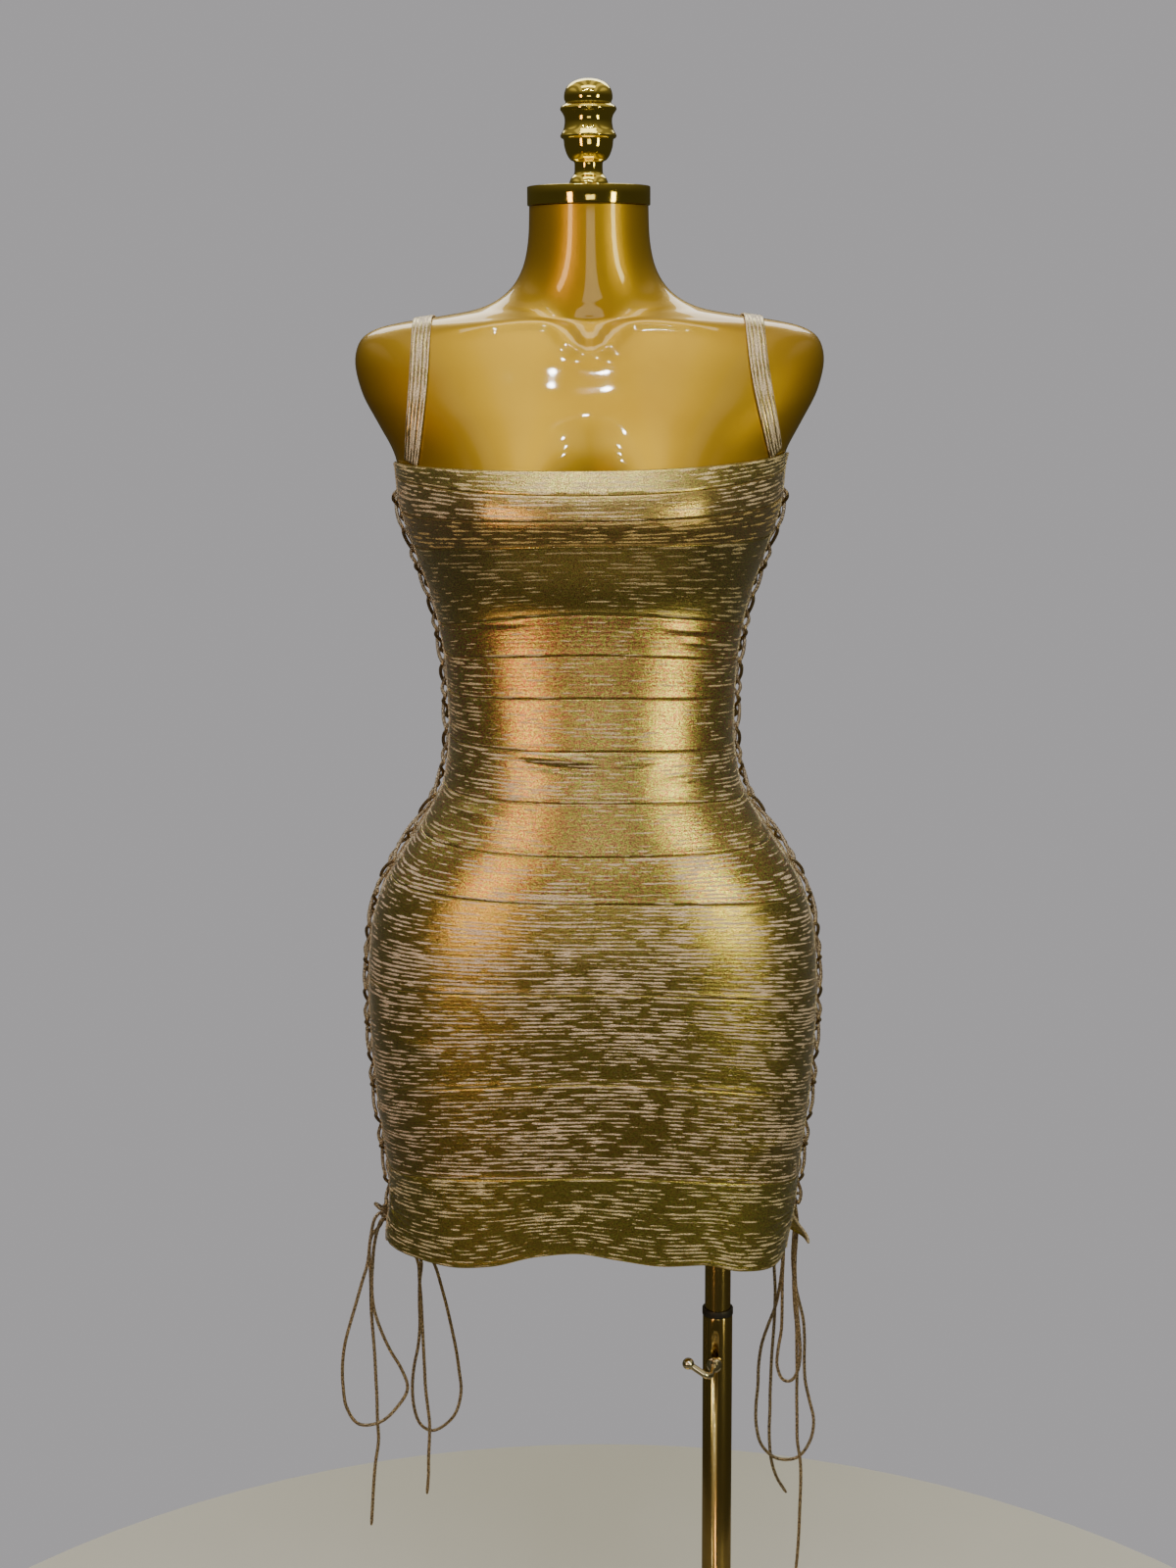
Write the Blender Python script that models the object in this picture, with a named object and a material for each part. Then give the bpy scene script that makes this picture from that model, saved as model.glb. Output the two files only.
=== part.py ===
"""Side-laced bandage dress on a limbless dress form with a telescopic pole.

Metres, +Z up. The front of the dress faces -Y. The origin is on the floor, at
the centre of the base disc, straight below the middle of the torso.

The dress is built as it is sewn: a front and a back, each a stack of knitted
bands joined edge to edge, a cord binding down each of the four side edges,
two straps, and a lace on each side that ends in a bow.
"""

import math
from collections import namedtuple

import bmesh
import bpy
from mathutils import Matrix, Vector

# ---------------------------------------------------------------- dimensions
SEAM_GAP = 0.0003            # air between two pieces that touch in the real thing
CLOTH_CLEARANCE = 0.0012     # air between the dress form and the cloth
CLOTH_THICKNESS = 0.0014
SIDE_GAP_HALF = 0.020        # half of the laced opening, measured front to back
CLOTH_COLUMNS = 16           # facets across the front and across the back
CLOTH_ROW = 0.020            # height of a facet

FORM_BOTTOM = 0.660
FORM_TOP = 1.4723
FORM_RING_SPACING = 0.020
FORM_WALL = 0.004
FLOOR_THICKNESS = 0.004
INNER_COLUMNS = 20

CAP_RADIUS = 0.0483
CAP_HEIGHT = 0.0146

BINDING_RADIUS = 0.0013
BINDING_STEPS = 40
STRAP_WIDTH = 0.0155
STRAP_THICKNESS = 0.0015
STRAP_SHARE = {True: 0.90, False: 0.75}   # how far out its feet stand, in front and behind

LACE_RADIUS = 0.0015
LACE_TOP = 1.250
LACE_PITCH = 0.0270          # from one eyelet to the next, down the edge
LACE_LEVELS = 23
LACE_MARGIN = 0.0245         # eyelets sit this far from the middle of the gap
LACE_LEAD = 0.0080           # a crossing cord runs straight for this far into its knot
LACE_STUB = 0.0030           # and a hanging one for this far out of it
LACE_RISE = 0.0009           # it stands off the binding by this much
LACE_OVER_SKIN = 0.0010      # and off the dress form by this much, halfway across the gap
LACE_EDGE = 0.0145           # it leaves the binding this far from the middle of the gap
LACE_OVER_BINDING = 0.0085   # an end crosses the binding this far above the knot
LACE_SPACING = 0.0090        # between the points of a hanging cord
KNOT_RADII = (0.0052, 0.0085, 0.0075)
LACE_TO_KNOT = {             # front and back strand, from the knot outward
    "left": ((-0.10, -0.75, 0.60), (-0.10, 0.75, 0.60)),
    "right": ((0.55, -0.75, 0.35), (0.25, -0.30, 0.90)),
}

POLE_X = 0.1060              # the pole stands to one side of the torso
POLE_SIDES = 24
MAST_RADIUS = 0.0110
MAST_BORE = 0.0096
MAST_BOTTOM = 0.120
TUBE_RADIUS = 0.0127
TUBE_BORE = 0.0113
TUBE_TOP = 0.5467
BUSH_RADIUS = 0.0132
BUSH_HEIGHT = 0.0060
SOCKET_HEIGHT = 0.0180
SOCKET_RADIUS = 0.0155
SOCKET_FLANGE_RADIUS = 0.0270
SOCKET_FLANGE_HEIGHT = 0.0035

SCREW_HEIGHT = 0.5070
SCREW_TURN = math.radians(12.0)   # the boss is turned a little off the front
SCREW_RADIUS = 0.00275
SCREW_HOLE_RADIUS = 0.0031
SCREW_REACH = 0.0430              # from the pole's axis to the bend
SCREW_BEND = 0.0060
SCREW_ARM = 0.0215
SCREW_ARM_RISE = math.radians(32.0)
SCREW_BALL_RADIUS = 0.0050
BOSS_RADIUS = 0.0064
BOSS_LENGTH = 0.0060

BASE_RADIUS = 0.165
BASE_HEIGHT = 0.008
BASE_SIDES = 48
COLLAR_RADIUS = 0.0220
COLLAR_HEIGHT = 0.0260

# ------------------------------------------------- the torso, bottom to top
Row = namedtuple("Row", "height half_width front back squareness lean")
BODY = [
    Row(0.600, 0.1650, 0.088, 0.096, 2.30, 0.000),
    Row(0.690, 0.1720, 0.092, 0.107, 2.30, 0.000),
    Row(0.760, 0.1800, 0.096, 0.120, 2.30, 0.000),
    Row(0.840, 0.1840, 0.100, 0.128, 2.30, 0.000),
    Row(0.890, 0.1812, 0.102, 0.121, 2.28, 0.000),
    Row(0.925, 0.1727, 0.101, 0.111, 2.24, 0.000),
    Row(0.960, 0.1533, 0.099, 0.099, 2.20, 0.000),
    Row(0.990, 0.1335, 0.095, 0.089, 2.16, 0.000),
    Row(1.020, 0.1190, 0.090, 0.081, 2.14, 0.000),
    Row(1.060, 0.1145, 0.085, 0.075, 2.12, 0.000),
    Row(1.110, 0.1165, 0.082, 0.077, 2.14, 0.000),
    Row(1.160, 0.1245, 0.083, 0.083, 2.18, 0.001),
    Row(1.205, 0.1393, 0.088, 0.088, 2.24, 0.002),
    Row(1.245, 0.1515, 0.092, 0.092, 2.30, 0.003),
    Row(1.275, 0.1545, 0.092, 0.093, 2.32, 0.004),
    Row(1.305, 0.1690, 0.087, 0.091, 2.34, 0.006),
    Row(1.330, 0.1820, 0.078, 0.086, 2.36, 0.008),
    Row(1.354, 0.1870, 0.069, 0.078, 2.36, 0.009),
    Row(1.370, 0.1830, 0.062, 0.070, 2.34, 0.010),
    Row(1.379, 0.1690, 0.056, 0.064, 2.30, 0.010),
    Row(1.384, 0.1470, 0.0525, 0.060, 2.24, 0.010),
    Row(1.3885, 0.1170, 0.0510, 0.057, 2.16, 0.009),
    Row(1.3935, 0.0890, 0.0500, 0.055, 2.08, 0.008),
    Row(1.402, 0.0705, 0.0490, 0.053, 2.04, 0.007),
    Row(1.415, 0.0575, 0.0480, 0.051, 2.00, 0.005),
    Row(1.432, 0.0503, 0.0472, 0.049, 2.00, 0.003),
    Row(1.453, 0.0473, 0.0468, 0.0475, 2.00, 0.001),
    Row(1.4723, 0.0468, 0.0466, 0.0466, 2.00, 0.000),
]

Bust = namedtuple("Bust", "height spacing width above below reach")
BUST = Bust(height=1.236, spacing=0.078, width=0.052, above=0.056, below=0.044, reach=0.030)

# ------------------------------------- the band edges, from neckline to hem
# Heights in front at the left edge, the middle and the right edge, and behind
# at the middle. A seam bows smoothly from its middle to its ends.
Edge = namedtuple("Edge", "name left middle right back")
EDGES = [
    Edge("neckline", 1.2745, 1.2727, 1.2810, 1.258),
    Edge("seam_1", 1.2620, 1.2545, 1.2670, 1.240),
    Edge("seam_2", 1.2330, 1.2349, 1.2420, 1.222),
    Edge("seam_3", 1.2050, 1.2158, 1.2130, 1.205),
    Edge("seam_4", 1.1425, 1.1602, 1.1430, 1.155),
    Edge("seam_5", 1.1195, 1.1279, 1.1145, 1.124),
    Edge("seam_6", 1.0890, 1.0942, 1.0845, 1.090),
    Edge("seam_7", 1.0530, 1.0528, 1.0440, 1.050),
    Edge("seam_8", 1.0135, 1.0125, 1.0025, 1.012),
    Edge("seam_9", 0.9780, 0.9708, 0.9680, 0.974),
    Edge("seam_10", 0.9390, 0.9335, 0.9200, 0.938),
    Edge("seam_11", 0.8495, 0.8610, 0.8320, 0.866),
    Edge("seam_12", 0.7600, 0.7853, 0.7490, 0.790),
    Edge("seam_13", 0.6870, 0.7047, 0.6740, 0.712),
    Edge("hem", 0.6235, 0.6389, 0.6140, 0.640),
]
BOW_POWER = 1.8
BACK_DROP = 0.012            # the back starts this much lower at its ends

# The hem rolls: it rides up at the middle and sinks over both thighs.
HemPoint = namedtuple("HemPoint", "share height")
FRONT_HEM = [
    HemPoint(-1.00, 0.6235), HemPoint(-0.85, 0.6200), HemPoint(-0.65, 0.6195),
    HemPoint(-0.45, 0.6243), HemPoint(-0.24, 0.6357), HemPoint(-0.08, 0.6390),
    HemPoint(0.10, 0.6330), HemPoint(0.30, 0.6260), HemPoint(0.46, 0.6245),
    HemPoint(0.65, 0.6135), HemPoint(0.82, 0.6090), HemPoint(1.00, 0.6140),
]
BACK_HEM = [
    HemPoint(-1.00, 0.6235), HemPoint(-0.80, 0.6230), HemPoint(-0.45, 0.6320),
    HemPoint(0.00, 0.6420), HemPoint(0.45, 0.6300), HemPoint(0.80, 0.6150),
    HemPoint(1.00, 0.6060),
]

# How far each lower corner curls outward, and over what height and span.
Curl = namedtuple("Curl", "front side reach height span")
CURLS = [
    Curl(front=True, side=-1.0, reach=0.008, height=0.030, span=0.12),
    Curl(front=True, side=1.0, reach=-0.004, height=0.026, span=0.12),
    Curl(front=False, side=-1.0, reach=0.003, height=0.030, span=0.10),
    Curl(front=False, side=1.0, reach=0.020, height=0.017, span=0.10),
]

# ------------------------------------------------------ the free lace ends
# Both bows: the knot, then the loops and loose ends that hang from it. A cord
# leaves the knot in the first direction; a loop comes back in from the second.
KNOTS = {
    "left": Vector((-0.1745, 0.000, 0.640)),
    "right": Vector((0.1675, 0.0475, 0.636)),
}
Route = namedtuple("Route", "knot leaves points returns")
ROUTES = {
    "left_loop_front": Route("left", (-0.85, -0.50, 0.15), [
        (-0.1865, -0.0085, 0.636), (-0.190, -0.010, 0.6185), (-0.1925, -0.010, 0.599),
        (-0.198, -0.0095, 0.5805), (-0.2035, -0.0095, 0.5615), (-0.209, -0.0095, 0.543),
        (-0.214, -0.009, 0.524), (-0.2165, -0.0085, 0.5045), (-0.2165, -0.008, 0.485),
        (-0.214, -0.0075, 0.4655), (-0.204, -0.0065, 0.4495), (-0.1855, -0.005, 0.4505),
        (-0.171, -0.004, 0.4635), (-0.1615, -0.0035, 0.4805), (-0.1665, -0.002, 0.498),
        (-0.176, -0.0015, 0.5155), (-0.1835, -0.001, 0.5335), (-0.189, -0.0005, 0.5525),
        (-0.1905, -0.0005, 0.572), (-0.1895, 0.0, 0.5915), (-0.1875, -0.001, 0.611),
        (-0.184, -0.003, 0.626)], (-0.60, -0.55, -0.60)),
    "left_end_front": Route("left", (-0.50, 0.10, -0.85), [
        (-0.183, 0.004, 0.626), (-0.190, 0.006, 0.617), (-0.1925, 0.006, 0.604),
        (-0.192, 0.006, 0.587), (-0.192, 0.006, 0.567), (-0.192, 0.006, 0.547),
        (-0.191, 0.006, 0.527), (-0.190, 0.006, 0.507), (-0.1895, 0.006, 0.487),
        (-0.189, 0.006, 0.4675), (-0.189, 0.006, 0.4475), (-0.1885, 0.006, 0.4275),
        (-0.1915, 0.006, 0.4075), (-0.1935, 0.006, 0.388), (-0.195, 0.006, 0.368),
        (-0.1965, 0.006, 0.348)], None),
    "left_loop_back": Route("left", (-0.80, 0.55, 0.20), [
        (-0.1865, 0.011, 0.643), (-0.187, 0.020, 0.640), (-0.183, 0.032, 0.632),
        (-0.175, 0.045, 0.619), (-0.165, 0.056, 0.601), (-0.157, 0.062, 0.584),
        (-0.1525, 0.064, 0.5685), (-0.1545, 0.064, 0.5485), (-0.155, 0.0645, 0.5285),
        (-0.155, 0.065, 0.5085), (-0.157, 0.0655, 0.4885), (-0.161, 0.0665, 0.469),
        (-0.163, 0.0675, 0.449), (-0.162, 0.0685, 0.429), (-0.157, 0.070, 0.412),
        (-0.1465, 0.0715, 0.4045), (-0.1345, 0.073, 0.4095), (-0.1245, 0.074, 0.4215),
        (-0.120, 0.0755, 0.4405), (-0.1215, 0.076, 0.4605), (-0.124, 0.0765, 0.4805),
        (-0.1275, 0.077, 0.500), (-0.1315, 0.0775, 0.520), (-0.136, 0.078, 0.539),
        (-0.141, 0.078, 0.558), (-0.149, 0.075, 0.578), (-0.159, 0.067, 0.596),
        (-0.170, 0.053, 0.609), (-0.177, 0.038, 0.617), (-0.181, 0.025, 0.625),
        (-0.1815, 0.0145, 0.633)], (-0.65, 0.65, -0.40)),
    "left_end_back": Route("left", (0.0, 0.25, -0.97), [
        (-0.1745, 0.0045, 0.622), (-0.174, 0.011, 0.611), (-0.170, 0.025, 0.600),
        (-0.164, 0.041, 0.591), (-0.158, 0.052, 0.582), (-0.1545, 0.057, 0.569),
        (-0.154, 0.057, 0.555), (-0.153, 0.057, 0.538), (-0.1525, 0.057, 0.521),
        (-0.152, 0.057, 0.504), (-0.1515, 0.057, 0.487), (-0.151, 0.057, 0.470),
        (-0.1505, 0.057, 0.453), (-0.149, 0.057, 0.436), (-0.1475, 0.057, 0.419),
        (-0.148, 0.057, 0.402), (-0.149, 0.057, 0.385), (-0.1495, 0.057, 0.3675),
        (-0.151, 0.057, 0.3505)], None),
    "right_loop_long": Route("right", (0.15, 0.55, -0.82), [
        (0.1675, 0.054, 0.620), (0.167, 0.0555, 0.603), (0.1665, 0.0565, 0.585),
        (0.166, 0.057, 0.5675), (0.164, 0.057, 0.548), (0.1605, 0.057, 0.529),
        (0.154, 0.057, 0.5105), (0.1485, 0.0575, 0.492), (0.146, 0.0575, 0.4725),
        (0.1455, 0.0575, 0.453), (0.144, 0.058, 0.4335), (0.1445, 0.0585, 0.414),
        (0.1495, 0.059, 0.395), (0.163, 0.0595, 0.382), (0.1815, 0.060, 0.3825),
        (0.193, 0.061, 0.398), (0.196, 0.0615, 0.4175), (0.192, 0.062, 0.4365),
        (0.188, 0.062, 0.4555), (0.187, 0.0625, 0.475), (0.187, 0.0625, 0.4945),
        (0.1855, 0.0625, 0.514), (0.181, 0.063, 0.533), (0.177, 0.063, 0.552),
        (0.1755, 0.063, 0.5715), (0.176, 0.0625, 0.590), (0.177, 0.0615, 0.608),
        (0.1765, 0.0585, 0.624)], (0.65, 0.72, -0.20)),
    "right_loop_short": Route("right", (0.10, -0.25, -0.95), [
        (0.167, 0.044, 0.620), (0.167, 0.043, 0.607), (0.166, 0.043, 0.591),
        (0.1655, 0.043, 0.575), (0.165, 0.043, 0.559), (0.165, 0.043, 0.5435),
        (0.165, 0.0425, 0.5275), (0.1645, 0.0425, 0.5115), (0.162, 0.042, 0.4955),
        (0.161, 0.0415, 0.480), (0.1655, 0.041, 0.467), (0.1735, 0.0405, 0.4655),
        (0.179, 0.0395, 0.475), (0.181, 0.0385, 0.4895), (0.1805, 0.038, 0.5045),
        (0.179, 0.0375, 0.520), (0.1775, 0.0375, 0.536), (0.1765, 0.037, 0.552),
        (0.1755, 0.037, 0.568), (0.1755, 0.037, 0.584), (0.1765, 0.0375, 0.600),
        (0.177, 0.040, 0.616)], (0.75, -0.45, -0.50)),
    "right_end_short": Route("right", (-0.15, 0.85, -0.50), [
        (0.1635, 0.0605, 0.628), (0.163, 0.064, 0.615), (0.162, 0.067, 0.600),
        (0.161, 0.069, 0.586), (0.160, 0.070, 0.572), (0.160, 0.070, 0.5575),
        (0.161, 0.070, 0.541), (0.161, 0.070, 0.524), (0.1605, 0.070, 0.5075),
        (0.1595, 0.070, 0.4905), (0.1585, 0.070, 0.474), (0.158, 0.070, 0.457),
        (0.1575, 0.070, 0.4405), (0.1575, 0.070, 0.4235), (0.157, 0.070, 0.407),
        (0.1575, 0.070, 0.390), (0.1595, 0.070, 0.3735), (0.1645, 0.070, 0.3575),
        (0.173, 0.070, 0.343)], None),
    "right_end_long": Route("right", (0.70, 0.20, -0.68), [
        (0.176, 0.050, 0.622), (0.177, 0.0505, 0.609), (0.1765, 0.050, 0.594),
        (0.1755, 0.050, 0.577), (0.1755, 0.050, 0.555), (0.1765, 0.050, 0.5335),
        (0.1785, 0.050, 0.512), (0.179, 0.050, 0.4905), (0.1795, 0.050, 0.469),
        (0.1795, 0.050, 0.447), (0.180, 0.050, 0.4255), (0.1805, 0.050, 0.404),
        (0.1835, 0.050, 0.3825), (0.184, 0.050, 0.361), (0.1835, 0.050, 0.3395),
        (0.183, 0.050, 0.3175), (0.182, 0.050, 0.296), (0.1805, 0.050, 0.2745),
        (0.180, 0.050, 0.253)], None),
}


# ------------------------------------------------------------ body surface
def pchip(heights, values, height):
    """Smooth value at a height, with no overshoot between the rows."""
    last = len(heights) - 1
    index = 0
    while index < last - 1 and height > heights[index + 1]:
        index += 1

    def secant(i):
        return (values[i + 1] - values[i]) / (heights[i + 1] - heights[i])

    def slope(i):
        if i == 0:
            return secant(0)
        if i == last:
            return secant(last - 1)
        before, after = secant(i - 1), secant(i)
        if before * after <= 0.0:
            return 0.0
        return 2.0 * before * after / (before + after)

    span = heights[index + 1] - heights[index]
    t = (height - heights[index]) / span
    m0, m1 = slope(index) * span, slope(index + 1) * span
    v0, v1 = values[index], values[index + 1]
    return ((2 * t**3 - 3 * t**2 + 1) * v0 + (t**3 - 2 * t**2 + t) * m0
            + (3 * t**2 - 2 * t**3) * v1 + (t**3 - t**2) * m1)


def body_row(height):
    """The torso's section at a height."""
    heights = [row.height for row in BODY]
    columns = []
    for field in Row._fields[1:]:
        columns.append(pchip(heights, [getattr(row, field) for row in BODY], height))
    return Row(height, *columns)


def round_bust(x, height):
    """How far the form's bust stands out."""
    off = abs(x) - BUST.spacing
    rise = height - BUST.height
    fall = BUST.above if rise > 0.0 else BUST.below
    return BUST.reach * math.exp(-(off / BUST.width) ** 2 - (rise / fall) ** 2)


def taut_bust(x, height):
    """The same under taut cloth, which spans the hollow in the middle."""
    return round_bust(max(abs(x), BUST.spacing), height)


def no_bust(x, height):
    """A plain chest, as inside the form's wall."""
    return 0.0


def section_point(row, angle, grow, bust):
    """A point of a section. Angle 0 is at +X, 90 degrees is the front."""
    power = 2.0 / row.squareness
    across = math.cos(angle)
    along = math.sin(angle)
    x = (row.half_width + grow) * math.copysign(abs(across) ** power, across)
    depth = (row.front if along > 0.0 else row.back) + grow
    y = row.lean - depth * math.copysign(abs(along) ** power, along)
    if along > 0.0:
        y -= bust(x, row.height) * along
    return Vector((x, y, row.height))


def edge_angle(row, grow, inset, front):
    """Angle from the side at which the section is inset from its middle."""
    depth = (row.front if front else row.back) + grow
    return math.asin((inset / depth) ** (row.squareness / 2.0))


def arc_angle(row, share, front):
    """Angle of a place on the front or back arc; share runs from -1 left to 1 right."""
    edge = edge_angle(row, 0.0, SIDE_GAP_HALF, front)
    steps = 48
    angles = [edge + (math.pi - 2.0 * edge) * i / steps for i in range(steps + 1)]
    if not front:
        angles = [-angle for angle in angles]
    angles.reverse()
    points = [section_point(row, angle, 0.0, taut_bust) for angle in angles]
    lengths = [0.0]
    for before, after in zip(points, points[1:]):
        lengths.append(lengths[-1] + (after - before).length)
    wanted = (share + 1.0) / 2.0 * lengths[-1]
    index = 0
    while index < steps - 1 and lengths[index + 1] < wanted:
        index += 1
    part = (wanted - lengths[index]) / (lengths[index + 1] - lengths[index])
    return angles[index] + (angles[index + 1] - angles[index]) * part


def side_point(height, offset, grow, side):
    """A point over the laced gap, offset back from the middle of the gap."""
    row = body_row(height)
    step = 0.004
    slope = (body_row(height + step).half_width - body_row(height - step).half_width) / (2.0 * step)
    front = offset < 0.0
    grow = grow * math.hypot(1.0, slope) + corner_curl(height, side * abs(offset) / LACE_MARGIN, front)
    angle = edge_angle(row, grow, abs(offset), front)
    point = section_point(row, angle if front else -angle, grow, taut_bust)
    point.x *= side
    return point


# ------------------------------------------------------------ mesh helpers
def material(name, colour, roughness, metallic):
    """A plain material with the piece's colour."""
    finish = bpy.data.materials.new(name)
    finish.use_nodes = True
    shader = finish.node_tree.nodes["Principled BSDF"]
    shader.inputs["Base Color"].default_value = (*colour, 1.0)
    shader.inputs["Roughness"].default_value = roughness
    shader.inputs["Metallic"].default_value = metallic
    return finish


FINISHES = {
    "form": ((0.62, 0.40, 0.10), 0.18, 0.9),
    "brass": ((0.80, 0.60, 0.20), 0.10, 1.0),
    "pole": ((0.45, 0.34, 0.12), 0.20, 1.0),
    "bush": ((0.02, 0.02, 0.02), 0.50, 0.0),
    "screw": ((0.75, 0.72, 0.62), 0.15, 1.0),
    "cloth": ((0.42, 0.35, 0.23), 0.45, 0.4),
    "binding": ((0.55, 0.47, 0.36), 0.60, 0.1),
    "lace": ((0.38, 0.31, 0.22), 0.45, 0.3),
}


def add_object(name, data, finish):
    """Links a new object with its own material."""
    colour, roughness, metallic = FINISHES[finish]
    data.materials.append(material(name + "_finish", colour, roughness, metallic))
    thing = bpy.data.objects.new(name, data)
    bpy.context.collection.objects.link(thing)
    return thing


def add_mesh(name, shape, finish):
    """Turns a bmesh into an object whose faces point out."""
    bmesh.ops.recalc_face_normals(shape, faces=shape.faces)
    data = bpy.data.meshes.new(name)
    shape.to_mesh(data)
    shape.free()
    data.shade_smooth()
    data.set_sharp_from_angle(angle=math.radians(40.0))
    return add_object(name, data, finish)


def turned(name, profile, finish, place=(0.0, 0.0, 0.0), sides=POLE_SIDES):
    """Spins a closed (radius, height) outline about a vertical axis."""
    shape = bmesh.new()
    points = [shape.verts.new((radius, 0.0, height)) for radius, height in profile]
    edges = [shape.edges.new(pair) for pair in zip(points, points[1:])]
    if profile[0][0] > 0.0:
        edges.append(shape.edges.new((points[-1], points[0])))
    bmesh.ops.spin(shape, geom=points + edges, cent=(0, 0, 0), axis=(0, 0, 1),
                   angle=math.tau, steps=sides, use_merge=True)
    bmesh.ops.remove_doubles(shape, verts=shape.verts, dist=0.00001)
    thing = add_mesh(name, shape, finish)
    thing.location = place
    return thing


def tube_outline(outer, inner, bottom, top):
    """The wall of a tube, as an outline to spin."""
    return [(inner, bottom), (outer, bottom), (outer, top), (inner, top)]


def cord(name, points, radius, finish, resolution=2, radii=None):
    """A round cord along the points, closed at both ends."""
    data = bpy.data.curves.new(name, "CURVE")
    data.dimensions = "3D"
    data.bevel_depth = radius
    data.bevel_resolution = resolution
    data.use_fill_caps = True
    spline = data.splines.new("POLY")
    spline.points.add(len(points) - 1)
    for index, (knot, point) in enumerate(zip(spline.points, points)):
        knot.co = (*point, 1.0)
        if radii:
            knot.radius = radii[index] / radius
    return add_object(name, data, finish)


def smooth_route(points, spacing):
    """Points at an even spacing on a smooth curve through a route."""
    ends = [2 * points[0] - points[1], *points, 2 * points[-1] - points[-2]]
    fine = []
    for a, b, c, d in zip(ends, ends[1:], ends[2:], ends[3:]):
        for step in range(12):
            t = step / 12.0
            fine.append(0.5 * (2 * b + (c - a) * t + (2 * a - 5 * b + 4 * c - d) * t**2
                               + (3 * b - a - 3 * c + d) * t**3))
    fine.append(points[-1].copy())
    lengths = [0.0]
    for before, after in zip(fine, fine[1:]):
        lengths.append(lengths[-1] + (after - before).length)
    count = max(2, round(lengths[-1] / spacing))
    result = []
    index = 0
    for step in range(count + 1):
        wanted = lengths[-1] * step / count
        while index < len(fine) - 2 and lengths[index + 1] < wanted:
            index += 1
        part = (wanted - lengths[index]) / (lengths[index + 1] - lengths[index])
        result.append(fine[index].lerp(fine[index + 1], min(1.0, part)))
    return result


# -------------------------------------------------------------- dress form
def outer_ring(height):
    """One ring of the torso's skin, with its columns under those of the cloth."""
    row = body_row(height)
    shares = [2.0 * i / CLOTH_COLUMNS - 1.0 for i in range(CLOTH_COLUMNS + 1)]
    angles = [arc_angle(row, share, True) for share in shares] + [0.0]
    angles += [arc_angle(row, share, False) for share in reversed(shares)] + [math.pi]
    return [section_point(row, angle, 0.0, round_bust) for angle in angles]


def inner_ring(height, gap=0.0):
    """One ring inside the wall, which is thicker behind the bust."""
    row, above = body_row(height), body_row(height + FORM_WALL)
    row = row._replace(half_width=min(row.half_width, above.half_width),
                       front=min(row.front, above.front), back=min(row.back, above.back))
    return [section_point(row, math.tau * i / INNER_COLUMNS, -FORM_WALL - gap, no_bust)
            for i in range(INNER_COLUMNS)]


def outer_heights():
    """Ring heights, closer together where the torso turns quickly."""
    heights = [FORM_BOTTOM]
    for low, high in zip(BODY, BODY[1:]):
        if high.height <= FORM_BOTTOM:
            continue
        start = max(low.height, FORM_BOTTOM)
        reach = math.hypot(high.height - start, high.half_width - low.half_width)
        steps = max(1, round(reach / FORM_RING_SPACING))
        heights += [start + (high.height - start) * (i + 1) / steps for i in range(steps)]
    return heights


def stack_rings(shape, rings):
    """Joins rings of points, bottom to top, and closes the top."""
    rings = [[shape.verts.new(point) for point in ring] for ring in rings]
    for below, above in zip(rings, rings[1:]):
        count = len(below)
        for i in range(count):
            j = (i + 1) % count
            shape.faces.new((below[i], below[j], above[j], above[i]))
    shape.faces.new(rings[-1])


def build_form():
    """The torso's hollow shell, open at the thighs, and the floor let into it."""
    shape = bmesh.new()
    inner_heights = [row.height for row in BODY if FORM_BOTTOM < row.height < FORM_TOP - FORM_WALL]
    inner_heights = [FORM_BOTTOM, *inner_heights, FORM_TOP - FORM_WALL]
    stack_rings(shape, [outer_ring(height) for height in outer_heights()])
    stack_rings(shape, [inner_ring(height) for height in inner_heights])
    rim = [edge for edge in shape.edges if edge.is_boundary]
    bmesh.ops.bridge_loops(shape, edges=rim)
    add_mesh("form", shape, "form")

    shape = bmesh.new()
    ring = inner_ring(FORM_BOTTOM, SEAM_GAP)
    outline = shape.faces.new([shape.verts.new(point) for point in ring])
    made = bmesh.ops.extrude_face_region(shape, geom=[outline])["geom"]
    top = [item for item in made if isinstance(item, bmesh.types.BMVert)]
    bmesh.ops.translate(shape, vec=(0.0, 0.0, FLOOR_THICKNESS), verts=top)
    add_mesh("form_floor", shape, "form")


FINIAL = [
    (0.0, 0.0000), (0.0153, 0.0000), (0.0150, 0.0030), (0.0130, 0.0074),
    (0.0112, 0.0090), (0.0110, 0.0135), (0.0112, 0.0185), (0.0136, 0.0193),
    (0.0168, 0.0237), (0.0188, 0.0296), (0.0194, 0.0352), (0.0216, 0.0366),
    (0.0220, 0.0380), (0.0210, 0.0400), (0.0190, 0.0440), (0.0185, 0.0489),
    (0.0192, 0.0530), (0.0212, 0.0563), (0.0220, 0.0582), (0.0206, 0.0606),
    (0.0175, 0.0630), (0.0190, 0.0660), (0.0187, 0.0700), (0.0170, 0.0744),
    (0.0135, 0.0780), (0.0075, 0.0806), (0.0, 0.0815),
]


def build_neck():
    """The polished disc on the neck, and the turned finial on the disc."""
    bottom = FORM_TOP + SEAM_GAP
    top = bottom + CAP_HEIGHT
    edge = 0.0008
    disc = [(0.0, bottom), (CAP_RADIUS - edge, bottom), (CAP_RADIUS, bottom + edge),
            (CAP_RADIUS, top - edge), (CAP_RADIUS - edge, top), (0.0, top)]
    turned("neck_cap", disc, "brass", sides=BASE_SIDES)
    foot = top + SEAM_GAP
    turned("finial", [(radius, foot + height) for radius, height in FINIAL], "brass", sides=16)


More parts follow.
